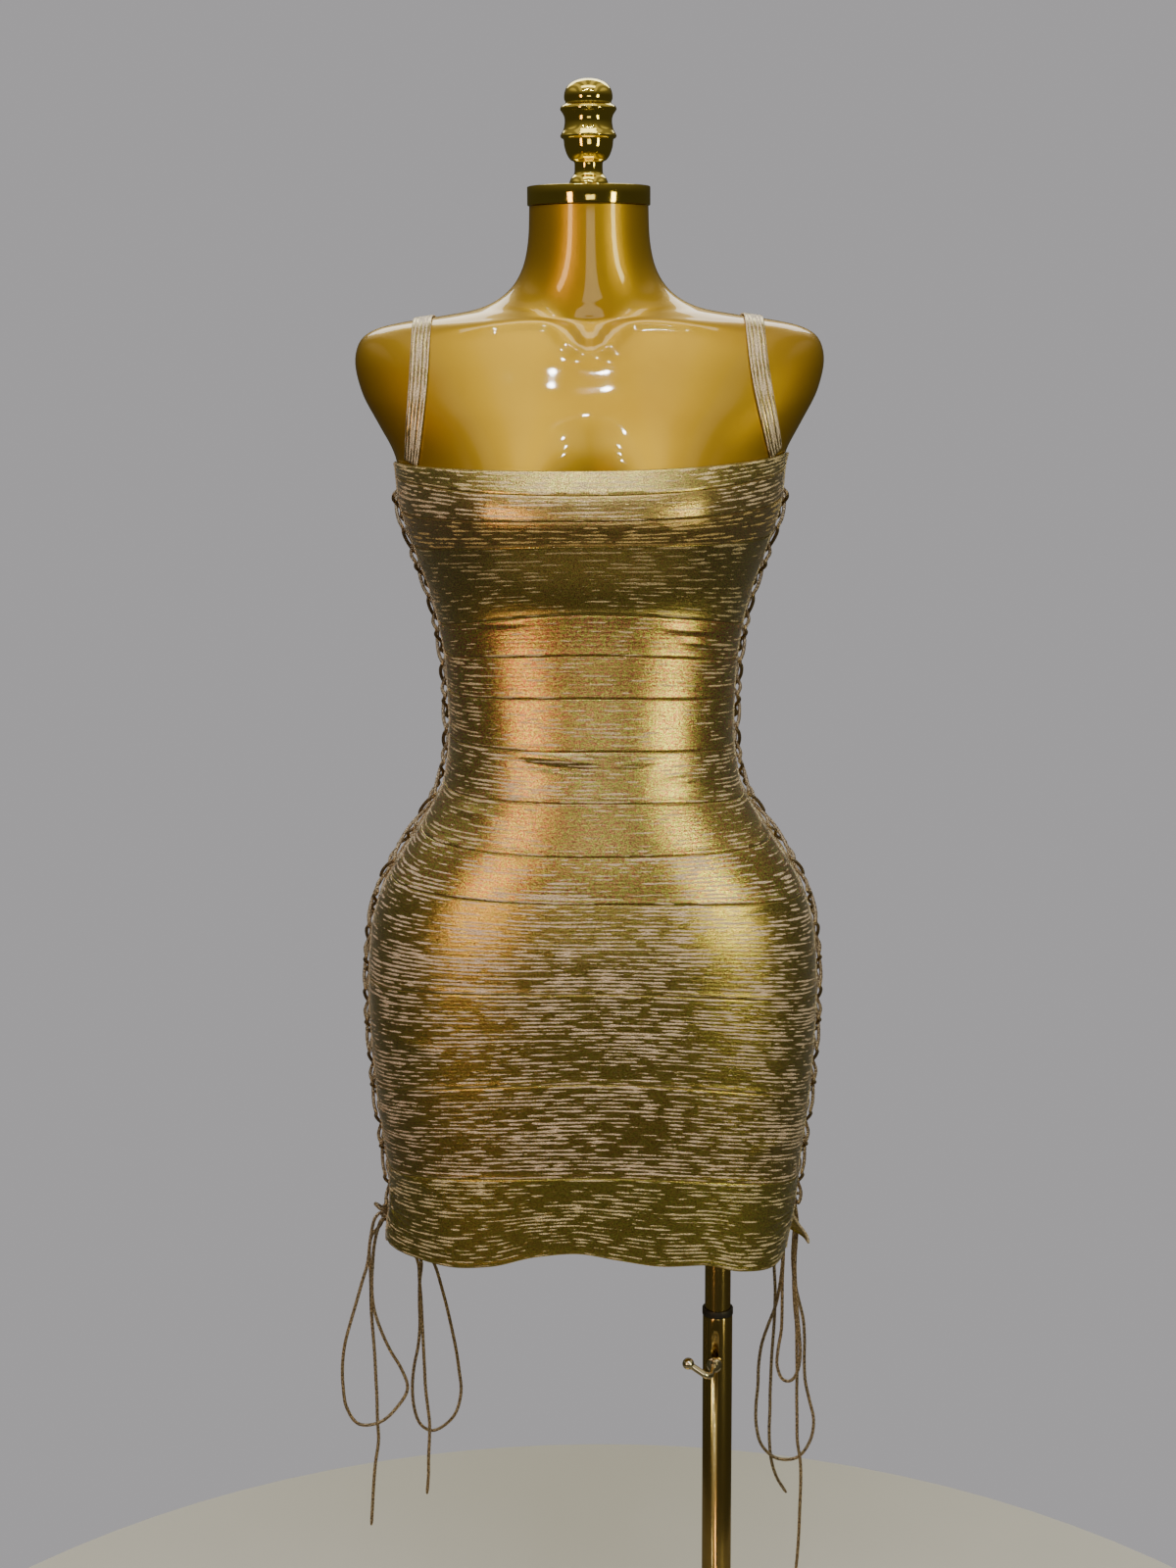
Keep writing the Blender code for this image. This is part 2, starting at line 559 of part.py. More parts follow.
# ------------------------------------------------------------------- dress
def edge_height(edge, share, front):
    """Height of a band's edge at a place across the front or the back."""
    if edge is EDGES[-1]:
        hem = FRONT_HEM if front else BACK_HEM
        return pchip([point.share for point in hem], [point.height for point in hem], share)
    middle = edge.middle if front else edge.back
    side = edge.left if share < 0.0 else edge.right
    if not front:
        top, low = EDGES[0].middle, EDGES[4].middle
        side -= BACK_DROP * max(0.0, (edge.middle - low) / (top - low))
    return middle + (side - middle) * abs(share) ** BOW_POWER


def corner_curl(height, share, front):
    """How far the cloth curls outward near the lower corners."""
    for curl in CURLS:
        if curl.front == front and curl.side * share >= 0.0:
            hem = edge_height(EDGES[-1], curl.side, front)
            rise = (height - hem) / curl.height
            along = (1.0 - abs(share)) / curl.span
            return curl.reach * math.exp(-rise ** 2 - along ** 2)
    return 0.0


def cloth_point(height, share, front, grow):
    """A point of the dress, at its inner face when grow is the clearance."""
    row = body_row(height)
    grow += corner_curl(height, share, front)
    return section_point(row, arc_angle(row, share, front), grow, taut_bust)


def band_rows(upper, lower):
    """Facets down a band, with one more where it rounds the bust."""
    rows = max(1, round((upper.middle - lower.middle) / CLOTH_ROW))
    return rows + 1 if upper.middle > BUST.height - BUST.below else rows


def band_face(shape, upper, lower, front, grow):
    """One face of a band, as a grid; gives back the edges round it."""
    rows = band_rows(upper, lower)
    grid = []
    for i in range(rows + 1):
        line = []
        for j in range(CLOTH_COLUMNS + 1):
            share = 2.0 * j / CLOTH_COLUMNS - 1.0
            top = edge_height(upper, share, front)
            bottom = edge_height(lower, share, front)
            if upper is not EDGES[0]:
                top -= SEAM_GAP / 2.0
            if lower is not EDGES[-1]:
                bottom += SEAM_GAP / 2.0
            height = top + (bottom - top) * i / rows
            line.append(shape.verts.new(cloth_point(height, share, front, grow)))
        grid.append(line)
    faces = [shape.faces.new((above[j], below[j], below[j + 1], above[j + 1]))
             for above, below in zip(grid, grid[1:]) for j in range(CLOTH_COLUMNS)]
    return [edge for face in faces for edge in face.edges if edge.is_boundary]


def build_band(name, upper, lower, front):
    """One knitted band: a curved strip with the cloth's thickness."""
    shape = bmesh.new()
    rim = band_face(shape, upper, lower, front, CLOTH_CLEARANCE)
    rim += band_face(shape, upper, lower, front, CLOTH_CLEARANCE + CLOTH_THICKNESS)
    bmesh.ops.bridge_loops(shape, edges=rim)
    add_mesh(name, shape, "cloth")


def build_bands():
    """All the bands of the front and of the back, top to bottom."""
    for panel, front in (("front", True), ("back", False)):
        for number, (upper, lower) in enumerate(zip(EDGES, EDGES[1:]), start=1):
            build_band(f"{panel}_band_{number:02d}", upper, lower, front)


def build_bindings():
    """The thin corded edge down each side of the front and of the back."""
    grow = CLOTH_CLEARANCE + BINDING_RADIUS
    shift = BINDING_RADIUS + SEAM_GAP
    for panel, front in (("front", True), ("back", False)):
        for label, side in (("left", -1.0), ("right", 1.0)):
            points = []
            top = edge_height(EDGES[0], side, front)
            bottom = edge_height(EDGES[-1], side, front)
            for i in range(BINDING_STEPS + 1):
                height = top + (bottom - top) * i / BINDING_STEPS
                point = cloth_point(height, side, front, grow)
                point.y += shift if front else -shift
                points.append(point)
            cord(f"{panel}_{label}_binding", points, BINDING_RADIUS, "binding", resolution=0)


# Where each strap crosses: x at the front neckline, over the shoulder and at the back.
Strap = namedtuple("Strap", "side front_x top_x back_x")
STRAPS = {
    "left": Strap(-1.0, 0.1400, 0.1310, 0.1200),
    "right": Strap(1.0, 0.1460, 0.1290, 0.1200),
}
STRAP_STEPS = 8
STRAP_FOOT = 0.0014          # from the neckline up to the middle of the strap's end


def skin_depth(x, height, grow, front):
    """y of the torso's skin at an x and a height, or None outside it."""
    row = body_row(height)
    reach = abs(x) / (row.half_width + grow)
    if reach >= 1.0:
        return None
    depth = (row.front if front else row.back) + grow
    along = (1.0 - reach ** row.squareness) ** (1.0 / row.squareness)
    if front:
        return row.lean - depth * along - taut_bust(x, height) * along
    return row.lean + depth * along


def shoulder_top(x, grow):
    """Height at which the shoulder narrows to this x."""
    low, high = BODY[17].height, BODY[22].height
    for _ in range(40):
        middle = (low + high) / 2.0
        if body_row(middle).half_width + grow > abs(x):
            low = middle
        else:
            high = middle
    return low


def strap_line(strap):
    """The strap's middle line on the torso, from the front to the back."""
    grow = CLOTH_CLEARANCE + STRAP_THICKNESS / 2.0
    peak = shoulder_top(strap.top_x, 0.0)
    starts = {front: edge_height(EDGES[0], STRAP_SHARE[front] * strap.side, front) + STRAP_FOOT
              for front in (True, False)}
    halves = {}
    for front in (True, False):
        low_x = strap.front_x if front else strap.back_x
        half = []
        for i in range(STRAP_STEPS + 1):
            t = math.sin(0.5 * math.pi * i / STRAP_STEPS)
            height = starts[front] + (peak - starts[front]) * t
            x = strap.side * (low_x + (strap.top_x - low_x) * t)
            y = skin_depth(x, height, 0.0, front)
            half.append(Vector((x, body_row(height).lean if y is None else y, height)))
        halves[front] = half
    line = halves[True] + halves[False][:-1][::-1]
    return line, grow


def skin_normal(point):
    """Outward direction of the torso's skin near a point."""
    front = point.y < body_row(point.z).lean

    def field(x, y, z):
        row = body_row(z)
        depth = row.front if front else row.back
        return ((abs(x) / row.half_width) ** row.squareness
                + (abs(y - row.lean) / depth) ** row.squareness)

    step = 0.0004
    slope = []
    for axis in range(3):
        before, after = point.copy(), point.copy()
        before[axis] -= step
        after[axis] += step
        slope.append(field(*after) - field(*before))
    return Vector(slope).normalized()


def build_straps():
    """Two flat ribbed straps over the shoulders."""
    for label, strap in STRAPS.items():
        line, grow = strap_line(strap)
        shape = bmesh.new()
        rings = []
        for i, point in enumerate(line):
            before = line[max(0, i - 1)]
            after = line[min(len(line) - 1, i + 1)]
            run = (after - before).normalized()
            if i in (0, len(line) - 1):
                run = Vector((0.0, 0.0, math.copysign(1.0, run.z)))
            outward = skin_normal(point)
            outward = (outward - run * outward.dot(run)).normalized()
            across = run.cross(outward).normalized()
            middle = point + outward * grow
            wide = across * STRAP_WIDTH / 2.0
            thick = outward * STRAP_THICKNESS / 2.0
            corners = (middle - wide - thick, middle + wide - thick,
                       middle + wide + thick, middle - wide + thick)
            rings.append([shape.verts.new(corner) for corner in corners])
        for below, above in zip(rings, rings[1:]):
            for i in range(4):
                j = (i + 1) % 4
                shape.faces.new((below[i], below[j], above[j], above[i]))
        shape.faces.new(rings[0])
        shape.faces.new(rings[-1])
        add_mesh(f"{label}_strap", shape, "cloth")


# ------------------------------------------------------------------- laces
def knot_exit(label, direction, beyond):
    """A point straight out from the knot's surface, on the side of a direction."""
    way = Vector(direction)
    reach = 1.0 / math.sqrt(sum((way[i] / KNOT_RADII[i]) ** 2 for i in range(3)))
    outward = Vector([way[i] / KNOT_RADII[i] ** 2 for i in range(3)]).normalized()
    return KNOTS[label] + way * reach + outward * beyond


def lace_strand(label, side, number):
    """One zigzag of a lace, from its top eyelet down to the knot."""
    at_eyelet = CLOTH_CLEARANCE + 2.0 * BINDING_RADIUS + LACE_RADIUS + LACE_RISE
    at_crossing = LACE_RADIUS + LACE_OVER_SKIN + number * (2.0 * LACE_RADIUS + 2.0 * SEAM_GAP)
    halfway = LACE_PITCH / 2.0
    edge = LACE_EDGE / LACE_MARGIN
    points = []
    for level in range(LACE_LEVELS):
        front = (level + number) % 2 == 0
        offset = -LACE_MARGIN if front else LACE_MARGIN
        height = LACE_TOP - LACE_PITCH * level
        points.append(side_point(height, offset, at_eyelet, side))
        if level < LACE_LEVELS - 1:
            points += [
                side_point(height - halfway * (1.0 - edge), offset * edge, at_eyelet, side),
                side_point(height - halfway, 0.0, at_crossing, side),
                side_point(height - halfway * (1.0 + edge), -offset * edge, at_eyelet, side)]
    last_front = (LACE_LEVELS - 1 + number) % 2 == 0
    leaves = LACE_TO_KNOT[label][0 if last_front else 1]
    if last_front and KNOTS[label].y > LACE_MARGIN:
        height = KNOTS[label].z + LACE_OVER_BINDING
        points.append(side_point(height, LACE_MARGIN, at_eyelet + SEAM_GAP, side))
    points.append(knot_exit(label, leaves, LACE_LEAD))
    points.append(knot_exit(label, leaves, SEAM_GAP))
    return points


def build_laces():
    """The crossed lace on each side, and the knot of its bow."""
    for label, side in (("left", -1.0), ("right", 1.0)):
        line = lace_strand(label, side, 0)[::-1] + lace_strand(label, side, 1)
        cord(f"{label}_lace", line, LACE_RADIUS, "lace", resolution=0)
        shape = bmesh.new()
        bmesh.ops.create_icosphere(shape, subdivisions=2, radius=1.0)
        bmesh.ops.scale(shape, vec=KNOT_RADII, verts=shape.verts)
        knot = add_mesh(f"{label}_bow_knot", shape, "lace")
        knot.location = KNOTS[label]


def free_cord_line(route):
    """A free cord's points, straight for a little where it meets its knot."""
    leaving = [knot_exit(route.knot, route.leaves, beyond) for beyond in (SEAM_GAP, LACE_STUB)]
    back = []
    if route.returns:
        back = [knot_exit(route.knot, route.returns, beyond) for beyond in (LACE_STUB, SEAM_GAP)]
    middle = [leaving[1], *(Vector(point) for point in route.points), *back[:1]]
    return [leaving[0], *smooth_route(middle, LACE_SPACING), *back[1:]]


def build_free_cords():
    """The loops and the loose ends of both bows."""
    for name, route in ROUTES.items():
        cord(name, free_cord_line(route), LACE_RADIUS, "lace")


# ------------------------------------------------------------------- stand
def build_pole():
    """Socket, sliding mast, lower tube with its bush, and the base."""
    place = (POLE_X, 0.0, 0.0)
    flange_top = FORM_BOTTOM - SEAM_GAP
    socket_bottom = flange_top - SOCKET_HEIGHT
    turned("pole_socket", [
        (TUBE_BORE, socket_bottom), (SOCKET_RADIUS, socket_bottom),
        (SOCKET_RADIUS, flange_top - SOCKET_FLANGE_HEIGHT),
        (SOCKET_FLANGE_RADIUS, flange_top - SOCKET_FLANGE_HEIGHT),
        (SOCKET_FLANGE_RADIUS, flange_top), (TUBE_BORE, flange_top)], "pole", place)
    turned("inner_tube", tube_outline(MAST_RADIUS, MAST_BORE, MAST_BOTTOM, flange_top - 0.0005),
           "pole", place)
    bottom = BASE_HEIGHT + SEAM_GAP
    tube = turned("lower_tube", tube_outline(TUBE_RADIUS, TUBE_BORE, bottom, TUBE_TOP),
                  "pole", place)
    bush_bottom = TUBE_TOP + SEAM_GAP
    turned("tube_bush", tube_outline(BUSH_RADIUS, TUBE_BORE, bush_bottom, bush_bottom + BUSH_HEIGHT),
           "bush", place)
    edge = 0.002
    collar_bore = TUBE_RADIUS + SEAM_GAP
    turned("base_collar", [
        (collar_bore, bottom), (COLLAR_RADIUS, bottom), (COLLAR_RADIUS, bottom + COLLAR_HEIGHT - edge),
        (COLLAR_RADIUS - edge, bottom + COLLAR_HEIGHT), (collar_bore, bottom + COLLAR_HEIGHT)],
        "pole", place)
    turned("base_disc", [
        (0.0, 0.0), (BASE_RADIUS - edge, 0.0), (BASE_RADIUS, edge),
        (BASE_RADIUS, BASE_HEIGHT - edge), (BASE_RADIUS - edge, BASE_HEIGHT), (0.0, BASE_HEIGHT)],
        "pole", sides=BASE_SIDES)
    return tube


def build_clamp(tube):
    """The boss on the lower tube and the ball-ended screw that goes through it."""
    out = Vector((-math.sin(SCREW_TURN), -math.cos(SCREW_TURN), 0.0))
    across = Vector((-math.cos(SCREW_TURN), math.sin(SCREW_TURN), 0.0))
    centre = Vector((POLE_X, 0.0, SCREW_HEIGHT))
    turn = Vector((0.0, 0.0, 1.0)).rotation_difference(out)

    shape = bmesh.new()
    bmesh.ops.create_cone(shape, cap_ends=True, segments=16, radius1=SCREW_HOLE_RADIUS,
                          radius2=SCREW_HOLE_RADIUS, depth=0.010)
    cutter = add_mesh("screw_hole", shape, "pole")
    cutter.matrix_world = Matrix.Translation(centre + out * TUBE_RADIUS) @ turn.to_matrix().to_4x4()
    cutter.hide_render = True
    cutter.display_type = "WIRE"
    hole = tube.modifiers.new("screw_hole", "BOOLEAN")
    hole.operation = "DIFFERENCE"
    hole.object = cutter

    start = TUBE_RADIUS + SEAM_GAP
    boss = turned("screw_boss", tube_outline(BOSS_RADIUS, SCREW_HOLE_RADIUS, start, start + BOSS_LENGTH),
                  "screw", sides=16)
    boss.matrix_world = Matrix.Translation(centre) @ turn.to_matrix().to_4x4()

    arm = across * math.cos(SCREW_ARM_RISE) + Vector((0.0, 0.0, math.sin(SCREW_ARM_RISE)))
    tip = MAST_RADIUS + SEAM_GAP
    points = [out * tip, out * (SCREW_REACH - SCREW_BEND)]
    for i in range(1, 5):
        angle = 0.5 * math.pi * i / 4
        points.append(out * (SCREW_REACH - SCREW_BEND + SCREW_BEND * math.sin(angle))
                      + arm * SCREW_BEND * (1.0 - math.cos(angle)))
    radii = [SCREW_RADIUS] * len(points)
    elbow = out * SCREW_REACH
    ball = SCREW_ARM
    neck = math.sqrt(SCREW_BALL_RADIUS**2 - SCREW_RADIUS**2)
    points.append(elbow + arm * (ball - neck))
    radii.append(SCREW_RADIUS)
    for share in (-0.6, -0.2, 0.2, 0.6, 0.9):
        points.append(elbow + arm * (ball + SCREW_BALL_RADIUS * share))
        radii.append(SCREW_BALL_RADIUS * math.sqrt(1.0 - share**2))
    screw = cord("clamp_screw", points, SCREW_RADIUS, "screw", radii=radii)
    screw.location = centre


def main():
    """Builds every piece in an empty scene."""
    for thing in list(bpy.data.objects):
        bpy.data.objects.remove(thing, do_unlink=True)
    build_form()
    build_neck()
    build_bands()
    build_bindings()
    build_straps()
    build_laces()
    build_free_cords()
    build_clamp(build_pole())


main()
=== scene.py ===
"""Looks of a side-laced bandage dress on a gilt, limbless dress form and its pole.

Metres, +Z up. The front of the dress faces -Y, and the origin is on the floor
below the middle of the torso. Every class stands for one sub-assembly: it
holds its sizes, builds its meshes and dresses them in its finish.
"""

import logging
import math
from dataclasses import dataclass, field
from enum import Enum
from typing import Callable, NamedTuple, Optional, Sequence

import bmesh
import bpy
import numpy as np
from mathutils import Matrix, Vector

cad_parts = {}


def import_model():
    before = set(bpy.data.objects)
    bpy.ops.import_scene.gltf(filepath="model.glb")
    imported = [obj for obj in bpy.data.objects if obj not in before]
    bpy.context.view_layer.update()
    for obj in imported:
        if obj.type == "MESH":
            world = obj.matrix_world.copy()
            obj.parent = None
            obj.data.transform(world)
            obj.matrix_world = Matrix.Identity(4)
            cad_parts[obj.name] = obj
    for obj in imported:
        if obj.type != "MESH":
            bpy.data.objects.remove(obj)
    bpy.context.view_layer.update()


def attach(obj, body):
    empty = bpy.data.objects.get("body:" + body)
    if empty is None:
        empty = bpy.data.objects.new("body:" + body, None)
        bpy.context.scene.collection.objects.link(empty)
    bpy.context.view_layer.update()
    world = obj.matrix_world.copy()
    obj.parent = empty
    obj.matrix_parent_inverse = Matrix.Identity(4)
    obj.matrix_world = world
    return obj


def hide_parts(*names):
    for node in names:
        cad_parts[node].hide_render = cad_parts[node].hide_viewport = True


log = logging.getLogger("dress")

Array = np.ndarray
Colour = tuple[float, float, float]
FIGURE, MAST, STAND, SCREW = "figure", "mast", "stand", "set_screw"


class Panel(Enum):
    """The two halves of the dress; the value names their pieces."""

    FRONT = "front"
    BACK = "back"


class Side(Enum):
    """The wearer-neutral sides, as seen from in front; the value is the sign of x."""

    LEFT = -1.0
    RIGHT = 1.0


# ------------------------------------------------------------ sizes shared by all
SEAM_GAP = 0.0003
CLOTH_CLEARANCE = 0.0012
CLOTH_WALL = 0.0013
CORD_RADIUS = 0.0015
PIPING_RADIUS = 0.0013
SIDE_GAP_HALF = 0.020
FORM_BOTTOM = 0.660
FORM_WALL = 0.004
LACE_PITCH = 0.0270
MERGE_DISTANCE = 0.000002


class TorsoRow(NamedTuple):
    """One level section of the torso."""

    height: float
    half_width: float
    front: float
    back: float
    squareness: float
    lean: float


TORSO = [
    TorsoRow(0.600, 0.1650, 0.088, 0.096, 2.30, 0.000),
    TorsoRow(0.690, 0.1720, 0.092, 0.107, 2.30, 0.000),
    TorsoRow(0.760, 0.1800, 0.096, 0.120, 2.30, 0.000),
    TorsoRow(0.840, 0.1840, 0.100, 0.128, 2.30, 0.000),
    TorsoRow(0.890, 0.1812, 0.102, 0.121, 2.28, 0.000),
    TorsoRow(0.925, 0.1727, 0.101, 0.111, 2.24, 0.000),
    TorsoRow(0.960, 0.1533, 0.099, 0.099, 2.20, 0.000),
    TorsoRow(0.990, 0.1335, 0.095, 0.089, 2.16, 0.000),
    TorsoRow(1.020, 0.1190, 0.090, 0.081, 2.14, 0.000),
    TorsoRow(1.060, 0.1145, 0.085, 0.075, 2.12, 0.000),
    TorsoRow(1.110, 0.1165, 0.082, 0.077, 2.14, 0.000),
    TorsoRow(1.160, 0.1245, 0.083, 0.083, 2.18, 0.001),
    TorsoRow(1.205, 0.1393, 0.088, 0.088, 2.24, 0.002),
    TorsoRow(1.245, 0.1515, 0.092, 0.092, 2.30, 0.003),
    TorsoRow(1.275, 0.1545, 0.092, 0.093, 2.32, 0.004),
    TorsoRow(1.305, 0.1690, 0.087, 0.091, 2.34, 0.006),
    TorsoRow(1.330, 0.1820, 0.078, 0.086, 2.36, 0.008),
    TorsoRow(1.354, 0.1870, 0.069, 0.078, 2.36, 0.009),
    TorsoRow(1.370, 0.1830, 0.062, 0.070, 2.34, 0.010),
    TorsoRow(1.379, 0.1690, 0.056, 0.064, 2.30, 0.010),
    TorsoRow(1.384, 0.1470, 0.0525, 0.060, 2.24, 0.010),
    TorsoRow(1.3885, 0.1170, 0.0510, 0.057, 2.16, 0.009),
    TorsoRow(1.3935, 0.0890, 0.0500, 0.055, 2.08, 0.008),
    TorsoRow(1.402, 0.0705, 0.0490, 0.053, 2.04, 0.007),
    TorsoRow(1.415, 0.0575, 0.0480, 0.051, 2.00, 0.005),
    TorsoRow(1.432, 0.0503, 0.0472, 0.049, 2.00, 0.003),
    TorsoRow(1.453, 0.0473, 0.0468, 0.0475, 2.00, 0.001),
    TorsoRow(1.4723, 0.0468, 0.0466, 0.0466, 2.00, 0.000),
]


# ------------------------------------------------------------------ smooth curves
def pchip(knots: Sequence[float], values: Sequence[float], at: Array) -> Array:
    """Smooth values with no overshoot between the knots.

    Args:
        knots: Rising positions of the known values.
        values: The known values.
        at: Positions to read.

    Returns:
        The value at each position.
    """
    knots, values = np.asarray(knots, float), np.asarray(values, float)
    step = np.diff(knots)
    secant = np.diff(values) / step
    product = secant[:-1] * secant[1:]
    total = np.where(product > 0.0, secant[:-1] + secant[1:], 1.0)
    inner = np.where(product > 0.0, 2.0 * product / total, 0.0)
    slope = np.concatenate([[secant[0]], inner, [secant[-1]]])
    index = np.clip(np.searchsorted(knots, at, side="right") - 1, 0, len(step) - 1)
    t = (at - knots[index]) / step[index]
    m0, m1 = slope[index] * step[index], slope[index + 1] * step[index]
    return ((2 * t**3 - 3 * t**2 + 1) * values[index] + (t**3 - 2 * t**2 + t) * m0
            + (3 * t**2 - 2 * t**3) * values[index + 1] + (t**3 - t**2) * m1)


def along(points: Array) -> Array:
    """Running length along a line of points."""
    return np.concatenate([[0.0], np.cumsum(np.linalg.norm(np.diff(points, axis=0), axis=1))])


def even_line(points: Array, spacing: float) -> Array:
    """The same line with its points at an even spacing."""
    length = along(points)
    wanted = np.linspace(0.0, length[-1], max(3, round(length[-1] / spacing) + 1))
    return np.stack([np.interp(wanted, length, points[:, axis]) for axis in range(3)], axis=1)


def flowing_line(points: Array, spacing: float) -> Array:
    """A Catmull-Rom curve through the points, at an even spacing.

    Args:
        points: The route, a row a point.
        spacing: Distance between the new points.

    Returns:
        The new points.
    """
    ends = np.vstack([2 * points[0] - points[1], points, 2 * points[-1] - points[-2]])
    a, b, c, d = (ends[i:len(ends) - 3 + i][:, None, :] for i in range(4))
    t = np.linspace(0.0, 1.0, 16, endpoint=False)[None, :, None]
    fine = 0.5 * (2 * b + (c - a) * t + (2 * a - 5 * b + 4 * c - d) * t**2
                  + (3 * b - a - 3 * c + d) * t**3)
    return even_line(np.vstack([fine.reshape(-1, 3), points[-1]]), spacing)


def unit(vectors: Array) -> Array:
    """The same directions at length 1."""
    return vectors / np.linalg.norm(vectors, axis=-1, keepdims=True)


def blur(values: Array, reach: float) -> Array:
    """Values smoothed by a bell of that many samples, with straight ends."""
    half = int(3 * reach)
    bell = np.exp(-0.5 * (np.arange(-half, half + 1) / reach) ** 2)
    padded = np.pad(values, half, mode="reflect", reflect_type="odd")
    return np.convolve(padded, bell / bell.sum(), mode="valid")


def blur_line(points: Array, reach: float) -> Array:
    """A line with each of its coordinates smoothed."""
    return np.stack([blur(points[:, axis], reach) for axis in range(3)], axis=1)


def waves(seed: int, *places: tuple[Array, float]) -> Array:
    """A smooth uneven field between about -1 and 1.

    Args:
        seed: Chooses the field.
        places: Pairs of a coordinate and the length of its waves.

    Returns:
        The field at the coordinates.
    """
    draw = np.random.default_rng(seed)
    total = 0.0
    for _ in range(6):
        phase = draw.uniform(0.0, math.tau)
        for coordinate, length in places:
            phase = phase + coordinate / length * math.tau * draw.uniform(0.35, 1.0)
        total = total + np.sin(phase)
    return total / 3.0


# --------------------------------------------------------------------- mesh tools
def link(name: str, data: bpy.types.ID) -> bpy.types.Object:
    """A new object in the scene."""
    thing = bpy.data.objects.new(name, data)
    bpy.context.scene.collection.objects.link(thing)
    return thing


def finish_mesh(name: str, shape: bmesh.types.BMesh, sharp: float = 40.0,
                outward: bool = True) -> bpy.types.Object:
    """An object from a bmesh, smooth with sharp edges past an angle.

    Args:
        name: The object's name.
        shape: The mesh; it is freed.
        sharp: Degrees past which an edge is sharp.
        outward: True if the normals still have to be turned outward.

    Returns:
        The object.
    """
    if outward:
        bmesh.ops.recalc_face_normals(shape, faces=shape.faces)
    data = bpy.data.meshes.new(name)
    shape.to_mesh(data)
    shape.free()
    data.shade_smooth()
    data.set_sharp_from_angle(angle=math.radians(sharp))
    return link(name, data)


def cloth_grid(points: Array, uv: Optional[Array] = None) -> bmesh.types.BMesh:
    """A grid of faces laid on rows and columns of points.

    Args:
        points: Points as rows x columns x 3.
        uv: Texture coordinates as rows x columns x 2.

    Returns:
        The mesh, with the coordinates in a map named "cloth".
    """
    rows, columns = points.shape[:2]
    shape = bmesh.new()
    bmesh.ops.create_grid(shape, x_segments=columns - 1, y_segments=rows - 1, size=0.5)
    data = bpy.data.meshes.new("grid")
    shape.to_mesh(data)
    flat = np.zeros(len(data.vertices) * 3)
    data.vertices.foreach_get("co", flat)
    flat = flat.reshape(-1, 3)
    row = np.rint((flat[:, 1] + 0.5) * (rows - 1)).astype(int)
    column = np.rint((flat[:, 0] + 0.5) * (columns - 1)).astype(int)
    data.vertices.foreach_set("co", points[row, column].ravel())
    if uv is not None:
        corner = np.zeros(len(data.loops), dtype=np.int32)
        data.loops.foreach_get("vertex_index", corner)
        layer = data.uv_layers.new(name="cloth")
        layer.data.foreach_set("uv", uv[row[corner], column[corner]].ravel())
    shape.clear()
    shape.from_mesh(data)
    bpy.data.meshes.remove(data)
    return shape


def close_ends(shape: bmesh.types.BMesh, above: float = -math.inf) -> None:
    """Merges a rolled grid's seam and fills the holes at its ends.

    Args:
        shape: The rolled grid.
        above: Only holes above this height are filled.
    """
    bmesh.ops.remove_doubles(shape, verts=shape.verts, dist=MERGE_DISTANCE)
    rim = [edge for edge in shape.edges if edge.is_boundary and edge.verts[0].co.z > above]
    bmesh.ops.holes_fill(shape, edges=rim, sides=0)


def face_outward(shape: bmesh.types.BMesh, way: Sequence[float]) -> None:
    """Turns an open shell so that its farthest face along a way looks along it."""
    shape.normal_update()
    way = Vector(way)
    probe = max(shape.faces, key=lambda face: face.calc_center_median().dot(way))
    if probe.normal.dot(way) < 0.0:
        bmesh.ops.reverse_faces(shape, faces=shape.faces)


def add_wall(piece: bpy.types.Object, thickness: float) -> None:
    """Gives an open shell its wall, inward from the skin."""
    wall = piece.modifiers.new("wall", "SOLIDIFY")
    wall.thickness = thickness
    wall.offset = -1.0


def tube_mesh(path: Array, radius: Array | float, sides: int, lobes: int = 0,
              lobe_depth: float = 0.0, lay: float = 0.0) -> bmesh.types.BMesh:
    """A closed tube along a path, plain or twisted from strands.

    Args:
        path: Centre line, a row a point.
        radius: Radius, or one for each point.
        sides: Faces round the tube.
        lobes: How many strands show round it.
        lobe_depth: Depth of the grooves between strands, as a share of the radius.
        lay: Length of one full twist.

    Returns:
        The tube; its map "cloth" has metres round it and metres along it.
    """
    run = unit(np.gradient(path, axis=0))
    side = np.zeros_like(path)
    start = np.cross(run[0], (0.0, 0.0, 1.0) if abs(run[0][2]) < 0.9 else (1.0, 0.0, 0.0))
    side[0] = start / np.linalg.norm(start)
    for i in range(1, len(path)):
        moved = side[i - 1] - run[i] * np.dot(side[i - 1], run[i])
        side[i] = moved / np.linalg.norm(moved)
    up = np.cross(run, side)
    angle = np.linspace(0.0, math.tau, sides + 1)
    length = along(path)
    reach = np.broadcast_to(np.asarray(radius, float), (len(path),))[:, None] * np.ones(sides + 1)
    if lobes:
        twist = angle[None, :] * lobes - length[:, None] / lay * math.tau
        reach = reach * (1.0 - lobe_depth * (0.5 - 0.5 * np.cos(twist)))
    points = (path[:, None] + reach[..., None]
              * (side[:, None] * np.cos(angle)[:, None] + up[:, None] * np.sin(angle)[:, None]))
    points[:, -1] = points[:, 0]
    mean = float(np.mean(radius))
    uv = np.stack(np.broadcast_arrays(angle[None, :] * mean, length[:, None]), axis=-1)
    shape = cloth_grid(points, uv)
    close_ends(shape)
    return shape


def lace_tube(path: Array, radius: Array | float = CORD_RADIUS,
              sides: int = 10) -> bmesh.types.BMesh:
    """A tube twisted from the four strands of the lace."""
    return tube_mesh(path, radius, sides, lobes=4, lobe_depth=0.10, lay=0.006)


